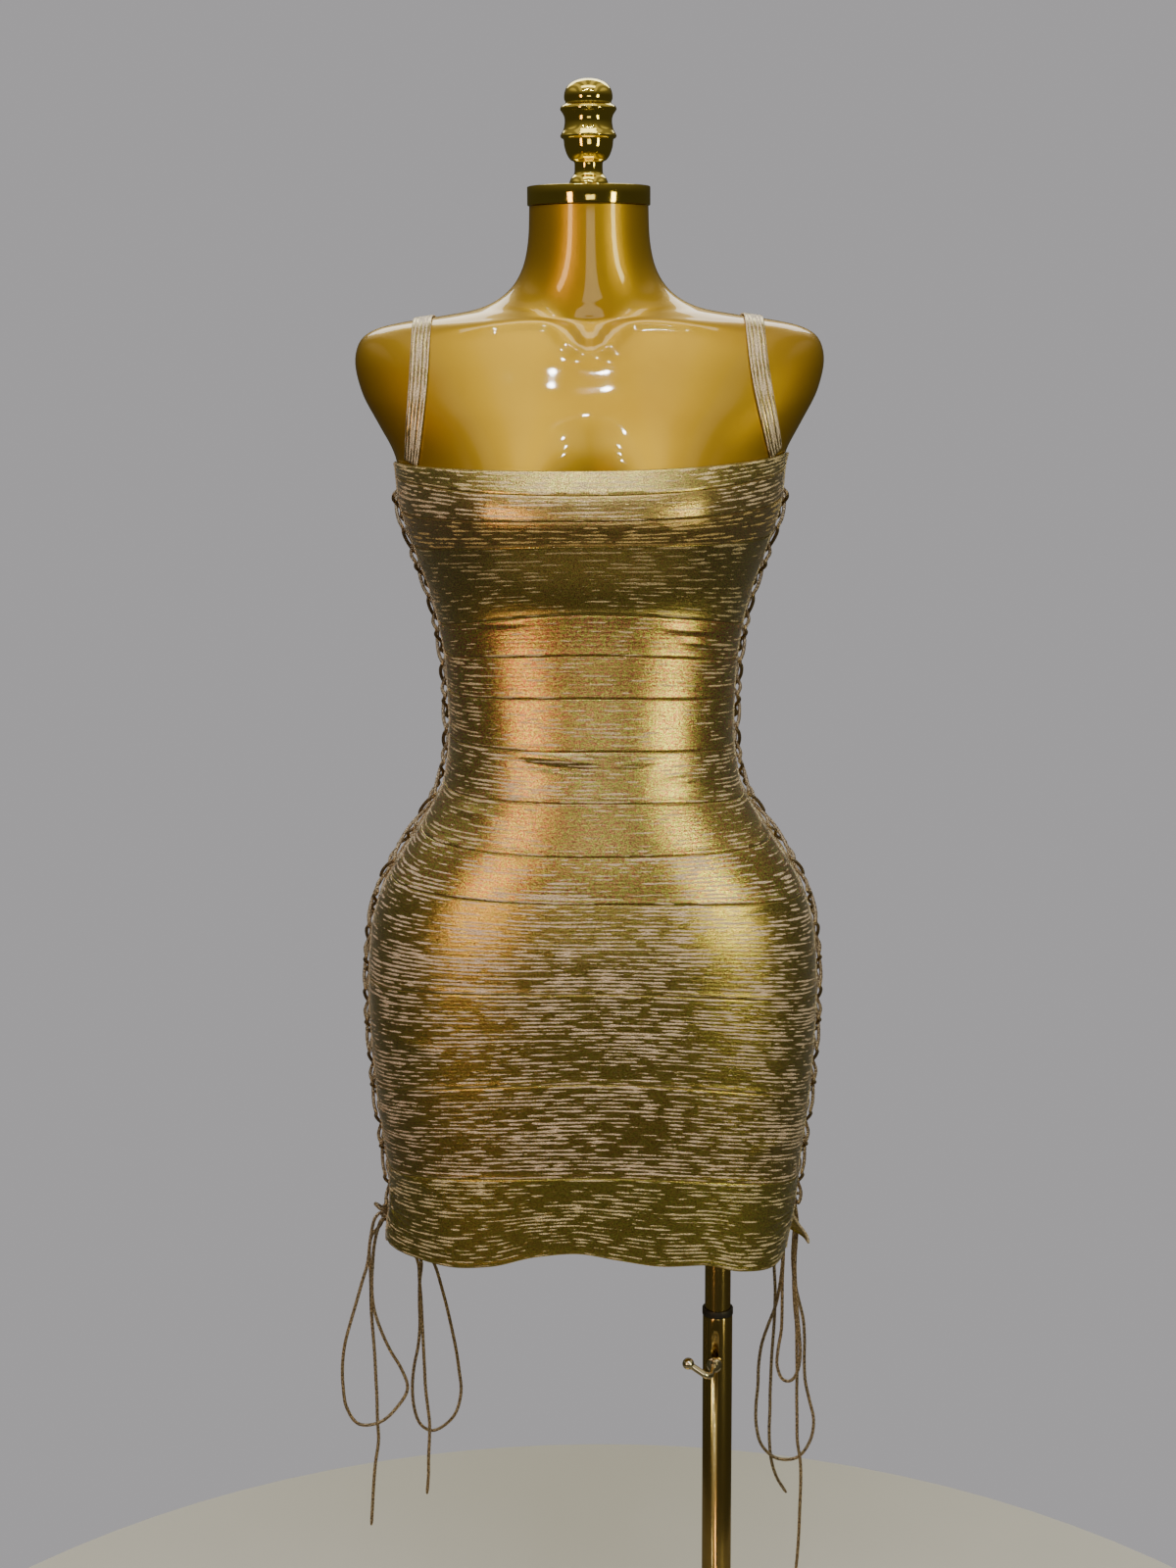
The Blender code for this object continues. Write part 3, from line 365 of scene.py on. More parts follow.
def spun(name: str, outline: Sequence[tuple[float, float]], x: float = 0.0,
         sides: int = 96, bevel: float = 0.0) -> bpy.types.Object:
    """Spins a (radius, height) outline about a vertical axis.

    Args:
        name: The object's name.
        outline: The outline; it closes on the axis or on itself.
        x: Where the axis stands.
        sides: Steps of the spin.
        bevel: Width of the small round put on its sharp edges.

    Returns:
        The object.
    """
    shape = bmesh.new()
    points = [shape.verts.new((radius, 0.0, height)) for radius, height in outline]
    edges = [shape.edges.new(pair) for pair in zip(points, points[1:])]
    if outline[0][0] > 0.0:
        edges.append(shape.edges.new((points[-1], points[0])))
    bmesh.ops.spin(shape, geom=points + edges, cent=(0, 0, 0), axis=(0, 0, 1),
                   angle=math.tau, steps=sides, use_merge=True)
    bmesh.ops.remove_doubles(shape, verts=shape.verts, dist=0.00001)
    if bevel:
        hard = [edge for edge in shape.edges if edge.is_manifold
                and edge.calc_face_angle() > math.radians(40.0)]
        bmesh.ops.bevel(shape, geom=hard, offset=bevel, offset_type="OFFSET", segments=2,
                        profile=0.5, affect="EDGES", material=-1, clamp_overlap=True)
    bmesh.ops.translate(shape, verts=shape.verts, vec=(x, 0.0, 0.0))
    return finish_mesh(name, shape, sharp=30.0)


# -------------------------------------------------------------------------- torso
class Bust(NamedTuple):
    """The round of the bust: where it is, how wide and how far it stands out."""

    height: float = 1.236
    spacing: float = 0.078
    width: float = 0.052
    above: float = 0.056
    below: float = 0.044
    reach: float = 0.030
    inner_width: float = 0.060
    inner_power: float = 3.5
    form_above: float = 0.048


class Torso:
    """The surface that both the dress form and the dress follow."""

    profile_step = 0.001
    profile_blur = 5.0
    share_steps = 96
    height_step = 0.005
    fine_step = 0.0002
    arc_samples = 240
    levels_below = 0.004
    levels_top = 1.330

    def __init__(self) -> None:
        """Works out the smooth profile and the arc tables."""
        self.bust = Bust()
        heights = np.arange(TORSO[0].height, TORSO[-1].height + 1e-6, self.fine_step)
        known = [row.height for row in TORSO]
        table = [heights]
        for number in range(1, len(TorsoRow._fields)):
            table.append(pchip(known, [row[number] for row in TORSO], heights))
        reach = along(np.stack([table[1], table[0] * 0.0, heights], axis=1))
        even = np.arange(0.0, reach[-1], self.profile_step)
        self.rows = np.stack([blur(np.interp(even, reach, column), self.profile_blur)
                              for column in table])
        self.low = TORSO[0].height - self.levels_below
        self.levels = np.arange(self.low, self.levels_top, self.height_step)
        self.arcs = {panel: self._arc_table(panel) for panel in Panel}

    def at(self, height: Array) -> Array:
        """The section at each height, below the shoulders."""
        return np.stack([np.asarray(height, float)]
                        + [np.interp(height, self.rows[0], column) for column in self.rows[1:]])

    def taut(self, x: Array, height: Array) -> Array:
        """How far taut cloth stands out over the bust."""
        return self._bust(np.maximum(np.abs(x), self.bust.spacing), height)

    def round(self, x: Array, height: Array) -> Array:
        """How far the form itself stands out over the bust."""
        inner = np.minimum(np.abs(x) - self.bust.spacing, 0.0)
        hollow = np.exp(-np.abs(inner / self.bust.inner_width) ** self.bust.inner_power)
        rise = np.maximum(height - self.bust.height, 0.0) ** 2
        top = np.exp(-rise * (self.bust.form_above**-2 - self.bust.above**-2))
        return self.taut(x, height) * hollow * top

    def _bust(self, x: Array, height: Array) -> Array:
        """The bust's rise at a distance from the middle."""
        off = (x - self.bust.spacing) / self.bust.width
        rise = height - self.bust.height
        rise = rise / np.where(rise > 0.0, self.bust.above, self.bust.below)
        return self.bust.reach * np.exp(-off**2 - rise**2)

    def section(self, row: Array, angle: Array, grow: Array | float,
                bust: Callable[[Array, Array], Array]) -> Array:
        """Points of sections; angle 0 is at +X and a quarter turn is the front.

        Args:
            row: Six section values, each shaped like angle.
            angle: Angle round the section.
            grow: How far outside the skin.
            bust: The bust's rise, taut or round.

        Returns:
            The points, with x, y and z last.
        """
        height, half_width, front, back, squareness, lean = row
        power = 2.0 / squareness
        across, out = np.cos(angle), np.sin(angle)
        x = (half_width + grow) * np.sign(across) * np.abs(across) ** power
        depth = np.where(out > 0.0, front, back) + grow
        y = lean - depth * np.sign(out) * np.abs(out) ** power
        y = y - np.where(out > 0.0, bust(x, height) * out, 0.0)
        return np.stack(np.broadcast_arrays(x, y, height), axis=-1)

    def edge_angle(self, row: Array, grow: Array | float, inset: Array | float,
                   front: bool) -> Array:
        """Angle from the side at which the section is inset from its middle."""
        depth = row[2 if front else 3] + grow
        return np.arcsin((inset / depth) ** (row[4] / 2.0))

    def _arc_table(self, panel: Panel) -> Array:
        """Angles at even shares of each level's arc, from the left edge to the right."""
        front = panel is Panel.FRONT
        result = []
        for height in self.levels:
            row = self.at(height)
            edge = float(self.edge_angle(row, 0.0, SIDE_GAP_HALF, front))
            angle = np.linspace(math.pi - edge, edge, self.arc_samples)
            angle *= 1.0 if front else -1.0
            points = self.section(row[:, None] * np.ones(len(angle)), angle, 0.0, self.taut)
            length = along(points)
            wanted = np.linspace(0.0, length[-1], self.share_steps + 1)
            result.append(np.interp(wanted, length, angle))
        return np.array(result)

    def cloth(self, height: Array, share: Array, panel: Panel, grow: Array | float) -> Array:
        """Points of the dress.

        Args:
            height: Heights.
            share: Places across the panel, -1 at its left edge and 1 at its right.
            panel: Front or back.
            grow: How far outside the skin.

        Returns:
            The points, with x, y and z last.
        """
        height, share = np.broadcast_arrays(height, share)
        i = np.clip((height - self.low) / self.height_step, 0.0, len(self.levels) - 1.001)
        j = np.clip((share + 1.0) / 2.0 * self.share_steps, 0.0, self.share_steps - 0.001)
        i0, j0 = i.astype(int), j.astype(int)
        it, jt = i - i0, j - j0
        table = self.arcs[panel]
        angle = ((table[i0, j0] * (1 - jt) + table[i0, j0 + 1] * jt) * (1 - it)
                 + (table[i0 + 1, j0] * (1 - jt) + table[i0 + 1, j0 + 1] * jt) * it)
        grow = grow + corner_curl(height, share, panel)
        return self.section(self.at(height), angle, grow, self.taut)

    def over_gap(self, height: Array, offset: Array, grow: Array | float, side: Side) -> Array:
        """Points over the laced gap, offset back from its middle."""
        height, offset = np.asarray(height, float), np.asarray(offset, float)
        row = self.at(height)
        step = 0.004
        slope = (self.at(height + step)[1] - self.at(height - step)[1]) / (2.0 * step)
        share = side.value * np.minimum(1.0, np.abs(offset) / EYELET_MARGIN)
        curl = np.where(offset < 0.0, corner_curl(height, share, Panel.FRONT),
                        corner_curl(height, share, Panel.BACK))
        grow = grow * np.hypot(1.0, slope) + curl
        front = self.edge_angle(row, grow, np.abs(offset), True)
        back = self.edge_angle(row, grow, np.abs(offset), False)
        points = self.section(row, np.where(offset < 0.0, front, -back), grow, self.taut)
        points[..., 0] *= side.value
        return points


# -------------------------------------------------------------- cut of the dress
class Edge(NamedTuple):
    """A band's edge: heights in front at left, middle and right, and behind."""

    left: float
    middle: float
    right: float
    back: float


EDGES = [
    Edge(1.2745, 1.2727, 1.2810, 1.258), Edge(1.2620, 1.2545, 1.2670, 1.240),
    Edge(1.2330, 1.2349, 1.2420, 1.222), Edge(1.2050, 1.2158, 1.2130, 1.205),
    Edge(1.1425, 1.1602, 1.1430, 1.155), Edge(1.1195, 1.1279, 1.1145, 1.124),
    Edge(1.0890, 1.0942, 1.0845, 1.090), Edge(1.0530, 1.0528, 1.0440, 1.050),
    Edge(1.0135, 1.0125, 1.0025, 1.012), Edge(0.9780, 0.9708, 0.9680, 0.974),
    Edge(0.9390, 0.9335, 0.9200, 0.938), Edge(0.8495, 0.8610, 0.8320, 0.866),
    Edge(0.7600, 0.7853, 0.7490, 0.790), Edge(0.6870, 0.7047, 0.6740, 0.712),
    Edge(0.6235, 0.6389, 0.6140, 0.640),
]
BOW_POWER = 1.8
BACK_DROP = 0.012

FRONT_HEM = [(-1.00, 0.6235), (-0.85, 0.6200), (-0.65, 0.6195), (-0.45, 0.6243),
             (-0.24, 0.6357), (-0.08, 0.6390), (0.10, 0.6330), (0.30, 0.6260),
             (0.46, 0.6245), (0.65, 0.6135), (0.82, 0.6090), (1.00, 0.6140)]
BACK_HEM = [(-1.00, 0.6235), (-0.80, 0.6230), (-0.45, 0.6320), (0.00, 0.6420),
            (0.45, 0.6300), (0.80, 0.6150), (1.00, 0.6010)]


class Curl(NamedTuple):
    """How far a lower corner turns out, and over what height and span."""

    reach: float
    height: float
    span: float


CURLS = {
    (Panel.FRONT, Side.LEFT): Curl(0.008, 0.030, 0.12),
    (Panel.FRONT, Side.RIGHT): Curl(-0.004, 0.026, 0.12),
    (Panel.BACK, Side.LEFT): Curl(0.003, 0.030, 0.10),
    (Panel.BACK, Side.RIGHT): Curl(0.020, 0.021, 0.12),
}


def edge_height(number: int, share: Array, panel: Panel) -> Array:
    """Height of a band's edge.

    Args:
        number: 0 at the neckline and 14 at the hem.
        share: Places across the panel.
        panel: Front or back.

    Returns:
        The height at each place.
    """
    share = np.asarray(share, float)
    if number == len(EDGES) - 1:
        hem = FRONT_HEM if panel is Panel.FRONT else BACK_HEM
        return pchip([s for s, _ in hem], [z for _, z in hem], share)
    edge = EDGES[number]
    middle = edge.middle if panel is Panel.FRONT else edge.back
    side = np.where(share < 0.0, edge.left, edge.right)
    if panel is Panel.BACK:
        top, low = EDGES[0].middle, EDGES[4].middle
        side = side - BACK_DROP * max(0.0, (edge.middle - low) / (top - low))
    return middle + (side - middle) * np.abs(share) ** BOW_POWER


def corner_curl(height: Array, share: Array, panel: Panel) -> Array:
    """How far the cloth curls outward near the lower corners."""
    total = np.zeros(np.broadcast(height, share).shape)
    for side in Side:
        curl = CURLS[panel, side]
        hem = float(edge_height(len(EDGES) - 1, side.value, panel))
        rise = (height - hem) / curl.height
        inward = (1.0 - np.abs(share)) / curl.span
        total = total + np.where(share * side.value >= 0.0,
                                 curl.reach * np.exp(-rise**2 - inward**2), 0.0)
    return total


class Crease(NamedTuple):
    """A soft fold: where it lies, how long and wide it is, and how far it stands out."""

    panel: Panel
    height: float
    share: float
    half_span: float
    width: float
    depth: float
    tilt: float


CREASES = [
    Crease(Panel.FRONT, 1.0480, -0.20, 0.30, 0.0042, 0.0017, -0.010),
    Crease(Panel.FRONT, 1.0405, -0.18, 0.30, 0.0034, -0.0012, -0.012),
    Crease(Panel.FRONT, 1.0440, 0.25, 0.20, 0.0030, 0.0011, 0.006),
    Crease(Panel.FRONT, 1.1520, -0.52, 0.22, 0.0028, 0.0011, 0.010),
    Crease(Panel.FRONT, 1.1450, 0.60, 0.26, 0.0030, 0.0013, -0.016),
    Crease(Panel.FRONT, 1.1340, 0.66, 0.20, 0.0032, 0.0012, -0.026),
    Crease(Panel.FRONT, 1.1180, 0.74, 0.16, 0.0030, 0.0010, -0.022),
    Crease(Panel.FRONT, 1.2740, 0.72, 0.14, 0.0026, 0.0013, -0.020),
    Crease(Panel.FRONT, 1.2660, 0.80, 0.12, 0.0024, 0.0011, -0.016),
    Crease(Panel.FRONT, 1.2685, -0.80, 0.12, 0.0026, 0.0009, 0.008),
    Crease(Panel.FRONT, 1.0290, 0.55, 0.22, 0.0034, 0.0010, 0.012),
    Crease(Panel.FRONT, 1.0010, -0.60, 0.20, 0.0036, 0.0010, -0.012),
    Crease(Panel.FRONT, 0.9250, 0.70, 0.20, 0.0050, 0.0009, 0.020),
    Crease(Panel.FRONT, 0.8100, -0.75, 0.22, 0.0060, 0.0009, -0.022),
    Crease(Panel.FRONT, 0.7200, 0.78, 0.18, 0.0060, 0.0011, 0.030),
    Crease(Panel.FRONT, 0.6900, -0.80, 0.16, 0.0050, 0.0012, -0.034),
    Crease(Panel.BACK, 1.0750, -0.15, 0.30, 0.0040, 0.0020, 0.006),
    Crease(Panel.BACK, 1.0580, 0.10, 0.34, 0.0036, -0.0018, -0.004),
    Crease(Panel.BACK, 1.0380, 0.05, 0.28, 0.0042, 0.0018, 0.008),
    Crease(Panel.BACK, 1.1200, 0.60, 0.22, 0.0034, 0.0012, -0.018),
    Crease(Panel.BACK, 1.1050, -0.62, 0.20, 0.0030, 0.0011, 0.014),
    Crease(Panel.BACK, 1.2050, -0.70, 0.16, 0.0030, 0.0010, 0.012),
    Crease(Panel.BACK, 0.9500, 0.72, 0.18, 0.0046, 0.0010, 0.018),
    Crease(Panel.BACK, 0.7000, -0.76, 0.18, 0.0055, 0.0011, -0.030),
]


class Pleats(NamedTuple):
    """Fine folds that spread from a pulled corner."""

    panel: Panel
    share: float
    height: float
    count: float
    reach: float
    depth: float


PLEATS = [
    Pleats(Panel.FRONT, -1.02, 0.655, 34.0, 0.030, 0.0010),
    Pleats(Panel.FRONT, 1.02, 0.650, 30.0, 0.034, 0.0008),
    Pleats(Panel.BACK, 1.04, 0.650, 26.0, 0.030, 0.0012),
    Pleats(Panel.BACK, -1.02, 0.652, 30.0, 0.030, 0.0010),
]
PANEL_HALF_WIDTH = 0.185


class KnitTint(NamedTuple):
    """How one band looks: how much foil covers it and how it is coloured."""

    cover: float
    yarn: Colour
    foil: Colour
    shimmer: float = 0.06


TINTS = [
    KnitTint(0.66, (0.60, 0.48, 0.27), (0.70, 0.56, 0.20)),
    KnitTint(0.66, (0.58, 0.45, 0.30), (0.66, 0.50, 0.20)),
    KnitTint(0.68, (0.52, 0.38, 0.15), (0.60, 0.43, 0.17)),
    # The fourth band, under the bust where the cloth faces down, has the darkest yarn and foil:
    # painted shade.
    KnitTint(0.76, (0.42, 0.34, 0.19), (0.52, 0.42, 0.14)),
    KnitTint(0.76, (0.50, 0.38, 0.23), (0.64, 0.46, 0.16), 0.15),
    KnitTint(0.74, (0.52, 0.40, 0.24), (0.66, 0.48, 0.17), 0.15),
    KnitTint(0.72, (0.52, 0.40, 0.25), (0.68, 0.51, 0.18), 0.15),
    KnitTint(0.70, (0.55, 0.43, 0.29), (0.68, 0.53, 0.20), 0.15),
    KnitTint(0.72, (0.54, 0.42, 0.27), (0.70, 0.54, 0.20), 0.15),
    KnitTint(0.66, (0.58, 0.46, 0.35), (0.64, 0.50, 0.17), 0.15),
    KnitTint(0.64, (0.60, 0.47, 0.36), (0.58, 0.47, 0.15)),
    KnitTint(0.64, (0.60, 0.47, 0.36), (0.54, 0.44, 0.13)),
    KnitTint(0.65, (0.60, 0.47, 0.36), (0.54, 0.43, 0.13)),
    KnitTint(0.70, (0.58, 0.48, 0.30), (0.56, 0.48, 0.13)),
]


# ---------------------------------------------------------------------- materials
class Shader:
    """A material under construction, around one Principled shader."""

    def __init__(self, name: str, **settings: float | Colour) -> None:
        """Starts a material.

        Args:
            name: The material's name.
            settings: Values for the shader's own sockets, with _ for a space.
        """
        self.material = bpy.data.materials.new(name)
        self.material.use_nodes = True
        self.tree = self.material.node_tree
        self.shader = self.tree.nodes["Principled BSDF"]
        for key, value in settings.items():
            socket = self.shader.inputs[key.replace("_", " ")]
            socket.default_value = (*value, 1.0) if isinstance(value, tuple) else value

    def node(self, kind: str, inputs: Optional[dict] = None, **settings: object) -> bpy.types.Node:
        """Adds a node; see add_node."""
        return add_node(self.tree, kind, inputs, **settings)

    def feed(self, source: bpy.types.NodeSocket, socket: str) -> None:
        """Links a socket to one of the shader's."""
        self.tree.links.new(source, self.shader.inputs[socket])

    def lay_on(self, group: bpy.types.NodeTree, place: bpy.types.NodeSocket,
               **inputs: float | Colour) -> bpy.types.NodeSocket:
        """Feeds the shader from a shared group laid on a place.

        Args:
            group: The group. Its Color goes to the base colour, and its other outputs but
                the height go to the shader's inputs of the same names.
            place: Where each point is on the surface.
            inputs: Values for the group's other inputs.

        Returns:
            The group's height.
        """
        node = self.node("ShaderNodeGroup", {"Place": place, **inputs}, node_tree=group)
        for socket in node.outputs:
            if socket.name != "Height":
                self.feed(socket, "Base Color" if socket.name == "Color" else socket.name)
        return node.outputs["Height"]

    def bump(self, height: bpy.types.NodeSocket, distance: float, strength: float = 1.0) -> None:
        """Feeds a height in metres x distance to the shader's normal."""
        node = self.node("ShaderNodeBump", {"Height": height, "Strength": strength,
                                            "Distance": distance})
        self.feed(node.outputs[0], "Normal")


def add_node(tree: bpy.types.NodeTree, kind: str, inputs: Optional[dict] = None,
             **settings: object) -> bpy.types.Node:
    """Adds a node and fills its inputs.

    Args:
        tree: The tree it goes into.
        kind: The node's type.
        inputs: Sockets or values for its inputs, by name or number.
        settings: The node's own properties.

    Returns:
        The node.
    """
    node = tree.nodes.new(kind)
    for key, value in settings.items():
        setattr(node, key, value)
    for key, value in (inputs or {}).items():
        if isinstance(value, bpy.types.NodeSocket):
            tree.links.new(value, node.inputs[key])
        else:
            node.inputs[key].default_value = (*value, 1.0) if (
                isinstance(value, tuple) and node.inputs[key].type == "RGBA") else value
    return node


class Sums:
    """Short names for the math nodes of one tree."""

    def __init__(self, tree: bpy.types.NodeTree) -> None:
        """Keeps the tree."""
        self.tree = tree

    def do(self, operation: str, *values: object) -> bpy.types.NodeSocket:
        """One math node on sockets or numbers."""
        return add_node(self.tree, "ShaderNodeMath", dict(enumerate(values)),
                        operation=operation).outputs[0]

    def vector(self, *values: object) -> bpy.types.NodeSocket:
        """A vector from sockets or numbers."""
        return add_node(self.tree, "ShaderNodeCombineXYZ", dict(enumerate(values))).outputs[0]

    def noise(self, place: bpy.types.NodeSocket, detail: float,
              scale: float | bpy.types.NodeSocket = 1.0) -> bpy.types.NodeSocket:
        """Noise at a place."""
        return add_node(self.tree, "ShaderNodeTexNoise",
                        {"Vector": place, "Scale": scale, "Detail": detail}).outputs[0]

    def ramp(self, value: bpy.types.NodeSocket, low: float | bpy.types.NodeSocket,
             high: float | bpy.types.NodeSocket, out_low: float = 0.0,
             out_high: float = 1.0) -> bpy.types.NodeSocket:
        """A smooth step of a value between two limits."""
        return add_node(self.tree, "ShaderNodeMapRange",
                        {0: value, 1: low, 2: high, 3: out_low, 4: out_high},
                        interpolation_type="SMOOTHSTEP").outputs[0]

    def mix(self, share: object, first: object, second: object) -> bpy.types.NodeSocket:
        """A mix of two colours."""
        return add_node(self.tree, "ShaderNodeMix", {0: share, 6: first, 7: second},
                        data_type="RGBA").outputs[2]

    def split(self, vector: bpy.types.NodeSocket) -> bpy.types.NodeOutputs:
        """The three parts of a vector."""
        return add_node(self.tree, "ShaderNodeSeparateXYZ", {0: vector}).outputs

    def grain(self, u: bpy.types.NodeSocket, v: bpy.types.NodeSocket, across: float,
              down: float, seed: float, detail: float = 1.0) -> bpy.types.NodeSocket:
        """Noise with its own fineness each way, in grains a metre."""
        place = self.vector(self.do("MULTIPLY", u, across), self.do("MULTIPLY", v, down), seed)
        return self.noise(place, detail=detail)


def new_group(name: str, inputs: dict[str, str], outputs: dict[str, str]
              ) -> tuple[bpy.types.NodeTree, bpy.types.Node, bpy.types.Node]:
    """An empty node group with named sockets.

    Args:
        name: The group's name.
        inputs: Socket types by name.
        outputs: Socket types by name.

    Returns:
        The group, its input node and its output node.
    """
    group = bpy.data.node_groups.new(name, "ShaderNodeTree")
    for sockets, way in ((inputs, "INPUT"), (outputs, "OUTPUT")):
        for label, kind in sockets.items():
            group.interface.new_socket(label, in_out=way, socket_type="NodeSocket" + kind)
    return group, group.nodes.new("NodeGroupInput"), group.nodes.new("NodeGroupOutput")


RIB_PITCH = 0.0032
STITCH_PITCH = 0.0011


def foil_knit_group() -> bpy.types.NodeTree:
    """Ribbed knit with streaks of foil that catch on the ribs.

    Returns:
        A group from a place in metres (x along the ribs, y across them) to a
        colour, a metal share, a roughness and a height.
    """
    group, given, result = new_group(
        "foil_knit",
        {"Place": "Vector", "Cover": "Float", "Yarn": "Color", "Foil": "Color", "Ribs": "Float",
         "Shimmer": "Float"},
        {"Color": "Color", "Metallic": "Float", "Roughness": "Float", "Height": "Float"})
    sums = Sums(group)
    u, v, _ = sums.split(given.outputs["Place"])
    phase = sums.do("MULTIPLY", v, math.tau / RIB_PITCH)
    ridge = sums.do("MULTIPLY_ADD", sums.do("COSINE", phase), -0.5, 0.5)
    streak = sums.grain(u, v, 62.0, 270.0, 3.1, detail=3.0)
    patch = sums.grain(u, v, 16.0, 60.0, 7.7, detail=2.0)
    rough_edge = sums.grain(u, v, 900.0, 900.0, 1.3)
    total = sums.do("ADD", sums.do("MULTIPLY", streak, 1.70), sums.do("MULTIPLY", patch, 0.90))
    total = sums.do("ADD", total, sums.do("MULTIPLY", rough_edge, 0.22))
    lift = sums.do("MULTIPLY", sums.do("MULTIPLY", ridge, given.outputs["Ribs"]), 0.46)
    total = sums.do("ADD", total, lift)
    limit = sums.do("MULTIPLY_ADD", given.outputs["Cover"], 1.20, 1.04)
    foil = sums.do("SUBTRACT", 1.0, sums.ramp(sums.do("SUBTRACT", total, limit), -0.05, 0.05))
    glitter = sums.grain(u, v, 1500.0, 1900.0, 9.2)
    spark = sums.ramp(glitter, 0.34, 0.66, 0.30, 1.60)
    hue = sums.grain(u, v, 420.0, 700.0, 2.2)
    turn = sums.do("MULTIPLY_ADD", sums.ramp(hue, 0.3, 0.7, -0.5, 0.5),
                   sums.do("MULTIPLY", given.outputs["Shimmer"], foil), 0.5)
    base = sums.mix(foil, given.outputs["Yarn"], given.outputs["Foil"])
    shifted = add_node(group, "ShaderNodeHueSaturation",
                       {"Hue": turn, "Saturation": 1.0, "Value": spark, "Color": base})
    slant = sums.do("MULTIPLY", sums.do("ABSOLUTE", sums.do("SINE", phase)), 1.6)
    stitch = sums.do("SINE", sums.do("MULTIPLY_ADD", u, math.tau / STITCH_PITCH, slant))
    height = sums.do("ADD", sums.do("MULTIPLY", stitch, 0.25), sums.do("MULTIPLY", glitter, 1.4))
    group.links.new(shifted.outputs[0], result.inputs["Color"])
    group.links.new(sums.ramp(foil, 0.0, 1.0, 0.25, 0.97), result.inputs["Metallic"])
    group.links.new(sums.do("ADD", sums.ramp(foil, 0.0, 1.0, 0.50, 0.25),
                            sums.do("MULTIPLY", glitter, 0.08)), result.inputs["Roughness"])
    group.links.new(height, result.inputs["Height"])
    return group


def braid_group() -> bpy.types.NodeTree:
    """Fine strands crossing round a cord, coloured with painted shade where the strands dip and
    painted glints in light flecks of metal yarn.

    Returns:
        A group from a place in metres (x round the cord, y along it) to a
        colour and a height.
    """
    group, given, result = new_group(
        "braid", {"Place": "Vector", "Strand": "Float", "Dark": "Color", "Light": "Color"},
        {"Color": "Color", "Height": "Float"})
    sums = Sums(group)
    u, v, _ = sums.split(given.outputs["Place"])
    turn = sums.do("DIVIDE", math.tau, given.outputs["Strand"])
    first, second = (sums.do("SINE", sums.do("MULTIPLY", sums.do(way, u, v), turn))
                     for way in ("ADD", "SUBTRACT"))
    weave = sums.do("MAXIMUM", first, second)
    fleck = sums.grain(u, v, 900.0, 500.0, 4.0, detail=2.0)
    # The colour is painted shade and light: darker where the strands dip between crossings, lighter
    # on their crests and in random flecks (painted glints).
    share = sums.do("ADD", sums.do("MULTIPLY", weave, 0.25), sums.ramp(fleck, 0.35, 0.68))
    colour = sums.mix(sums.ramp(share, 0.0, 1.1), given.outputs["Dark"], given.outputs["Light"])
    group.links.new(colour, result.inputs["Color"])
    group.links.new(sums.do("ADD", weave, fleck), result.inputs["Height"])
    return group


def wear_group() -> bpy.types.NodeTree:
    """Faint cloudy wear of a polished or painted surface.

    Returns:
        A group from a place in metres and a clean colour and roughness to
        their uneven values and a small height.
    """
    group, given, result = new_group(
        "polish_wear",
        {"Place": "Vector", "Scale": "Float", "Clean": "Color", "Dull": "Color",
         "Roughness": "Float", "Spread": "Float"},
        {"Color": "Color", "Roughness": "Float", "Height": "Float"})
    sums = Sums(group)
    cloud = sums.noise(given.outputs["Place"], detail=4.0, scale=given.outputs["Scale"])
    fine = sums.noise(given.outputs["Place"], detail=1.0, scale=900.0)
    colour = sums.mix(sums.ramp(cloud, 0.42, 0.72), given.outputs["Clean"], given.outputs["Dull"])
    rough = sums.do("MULTIPLY_ADD", sums.ramp(cloud, 0.35, 0.75), given.outputs["Spread"],
                    given.outputs["Roughness"])
    group.links.new(colour, result.inputs["Color"])
    group.links.new(rough, result.inputs["Roughness"])
    group.links.new(fine, result.inputs["Height"])
    return group


@dataclass(frozen=True)
class KnitFinish:
    """The foiled knit of one band or strap."""

    name: str
    tint: KnitTint
    ribs: float = 1.0

    def make(self, group: bpy.types.NodeTree) -> bpy.types.Material:
        """The material, around the shared knit group."""
        shade = Shader(self.name, Sheen_Weight=0.15, Sheen_Roughness=0.4,
                       Specular_IOR_Level=0.4)
        place = shade.node("ShaderNodeUVMap", uv_map="cloth").outputs[0]
        height = shade.lay_on(group, place, Cover=self.tint.cover, Ribs=self.ribs,
                              Shimmer=self.tint.shimmer, Yarn=self.tint.yarn,
                              Foil=self.tint.foil)
        shade.bump(height, 0.00012, 0.5)
        return shade.material


@dataclass(frozen=True)
class CordFinish:
    """The metallic braid of the laces or the twist of the piping."""

    name: str
    dark: Colour
    light: Colour
    strand: float
    metallic: float
    roughness: float

    def make(self, group: bpy.types.NodeTree) -> bpy.types.Material:
        """The material, around the shared braid group."""
        shade = Shader(self.name, Metallic=self.metallic, Roughness=self.roughness)
        place = shade.node("ShaderNodeUVMap", uv_map="cloth").outputs[0]
        height = shade.lay_on(group, place, Strand=self.strand, Dark=self.dark, Light=self.light)
        shade.bump(height, 0.00018)
        return shade.material


@dataclass(frozen=True)
class PolishFinish:
    """A polished, plated or painted surface with faint wear."""

    name: str
    clean: Colour
    dull: Colour
    metallic: float
    roughness: float
    spread: float
    scale: float = 14.0
    coat: float = 0.0
    grain: float = 0.00002

    def make(self, group: bpy.types.NodeTree) -> bpy.types.Material:
        """The material, around the shared wear group."""
        shade = Shader(self.name, Metallic=self.metallic, Coat_Weight=self.coat,
                       Coat_Roughness=0.04, Coat_IOR=1.55)
        place = shade.node("ShaderNodeTexCoord").outputs["Object"]
        height = shade.lay_on(group, place, Scale=self.scale, Roughness=self.roughness,
                              Spread=self.spread, Clean=self.clean, Dull=self.dull)
        shade.bump(height, self.grain)
        return shade.material


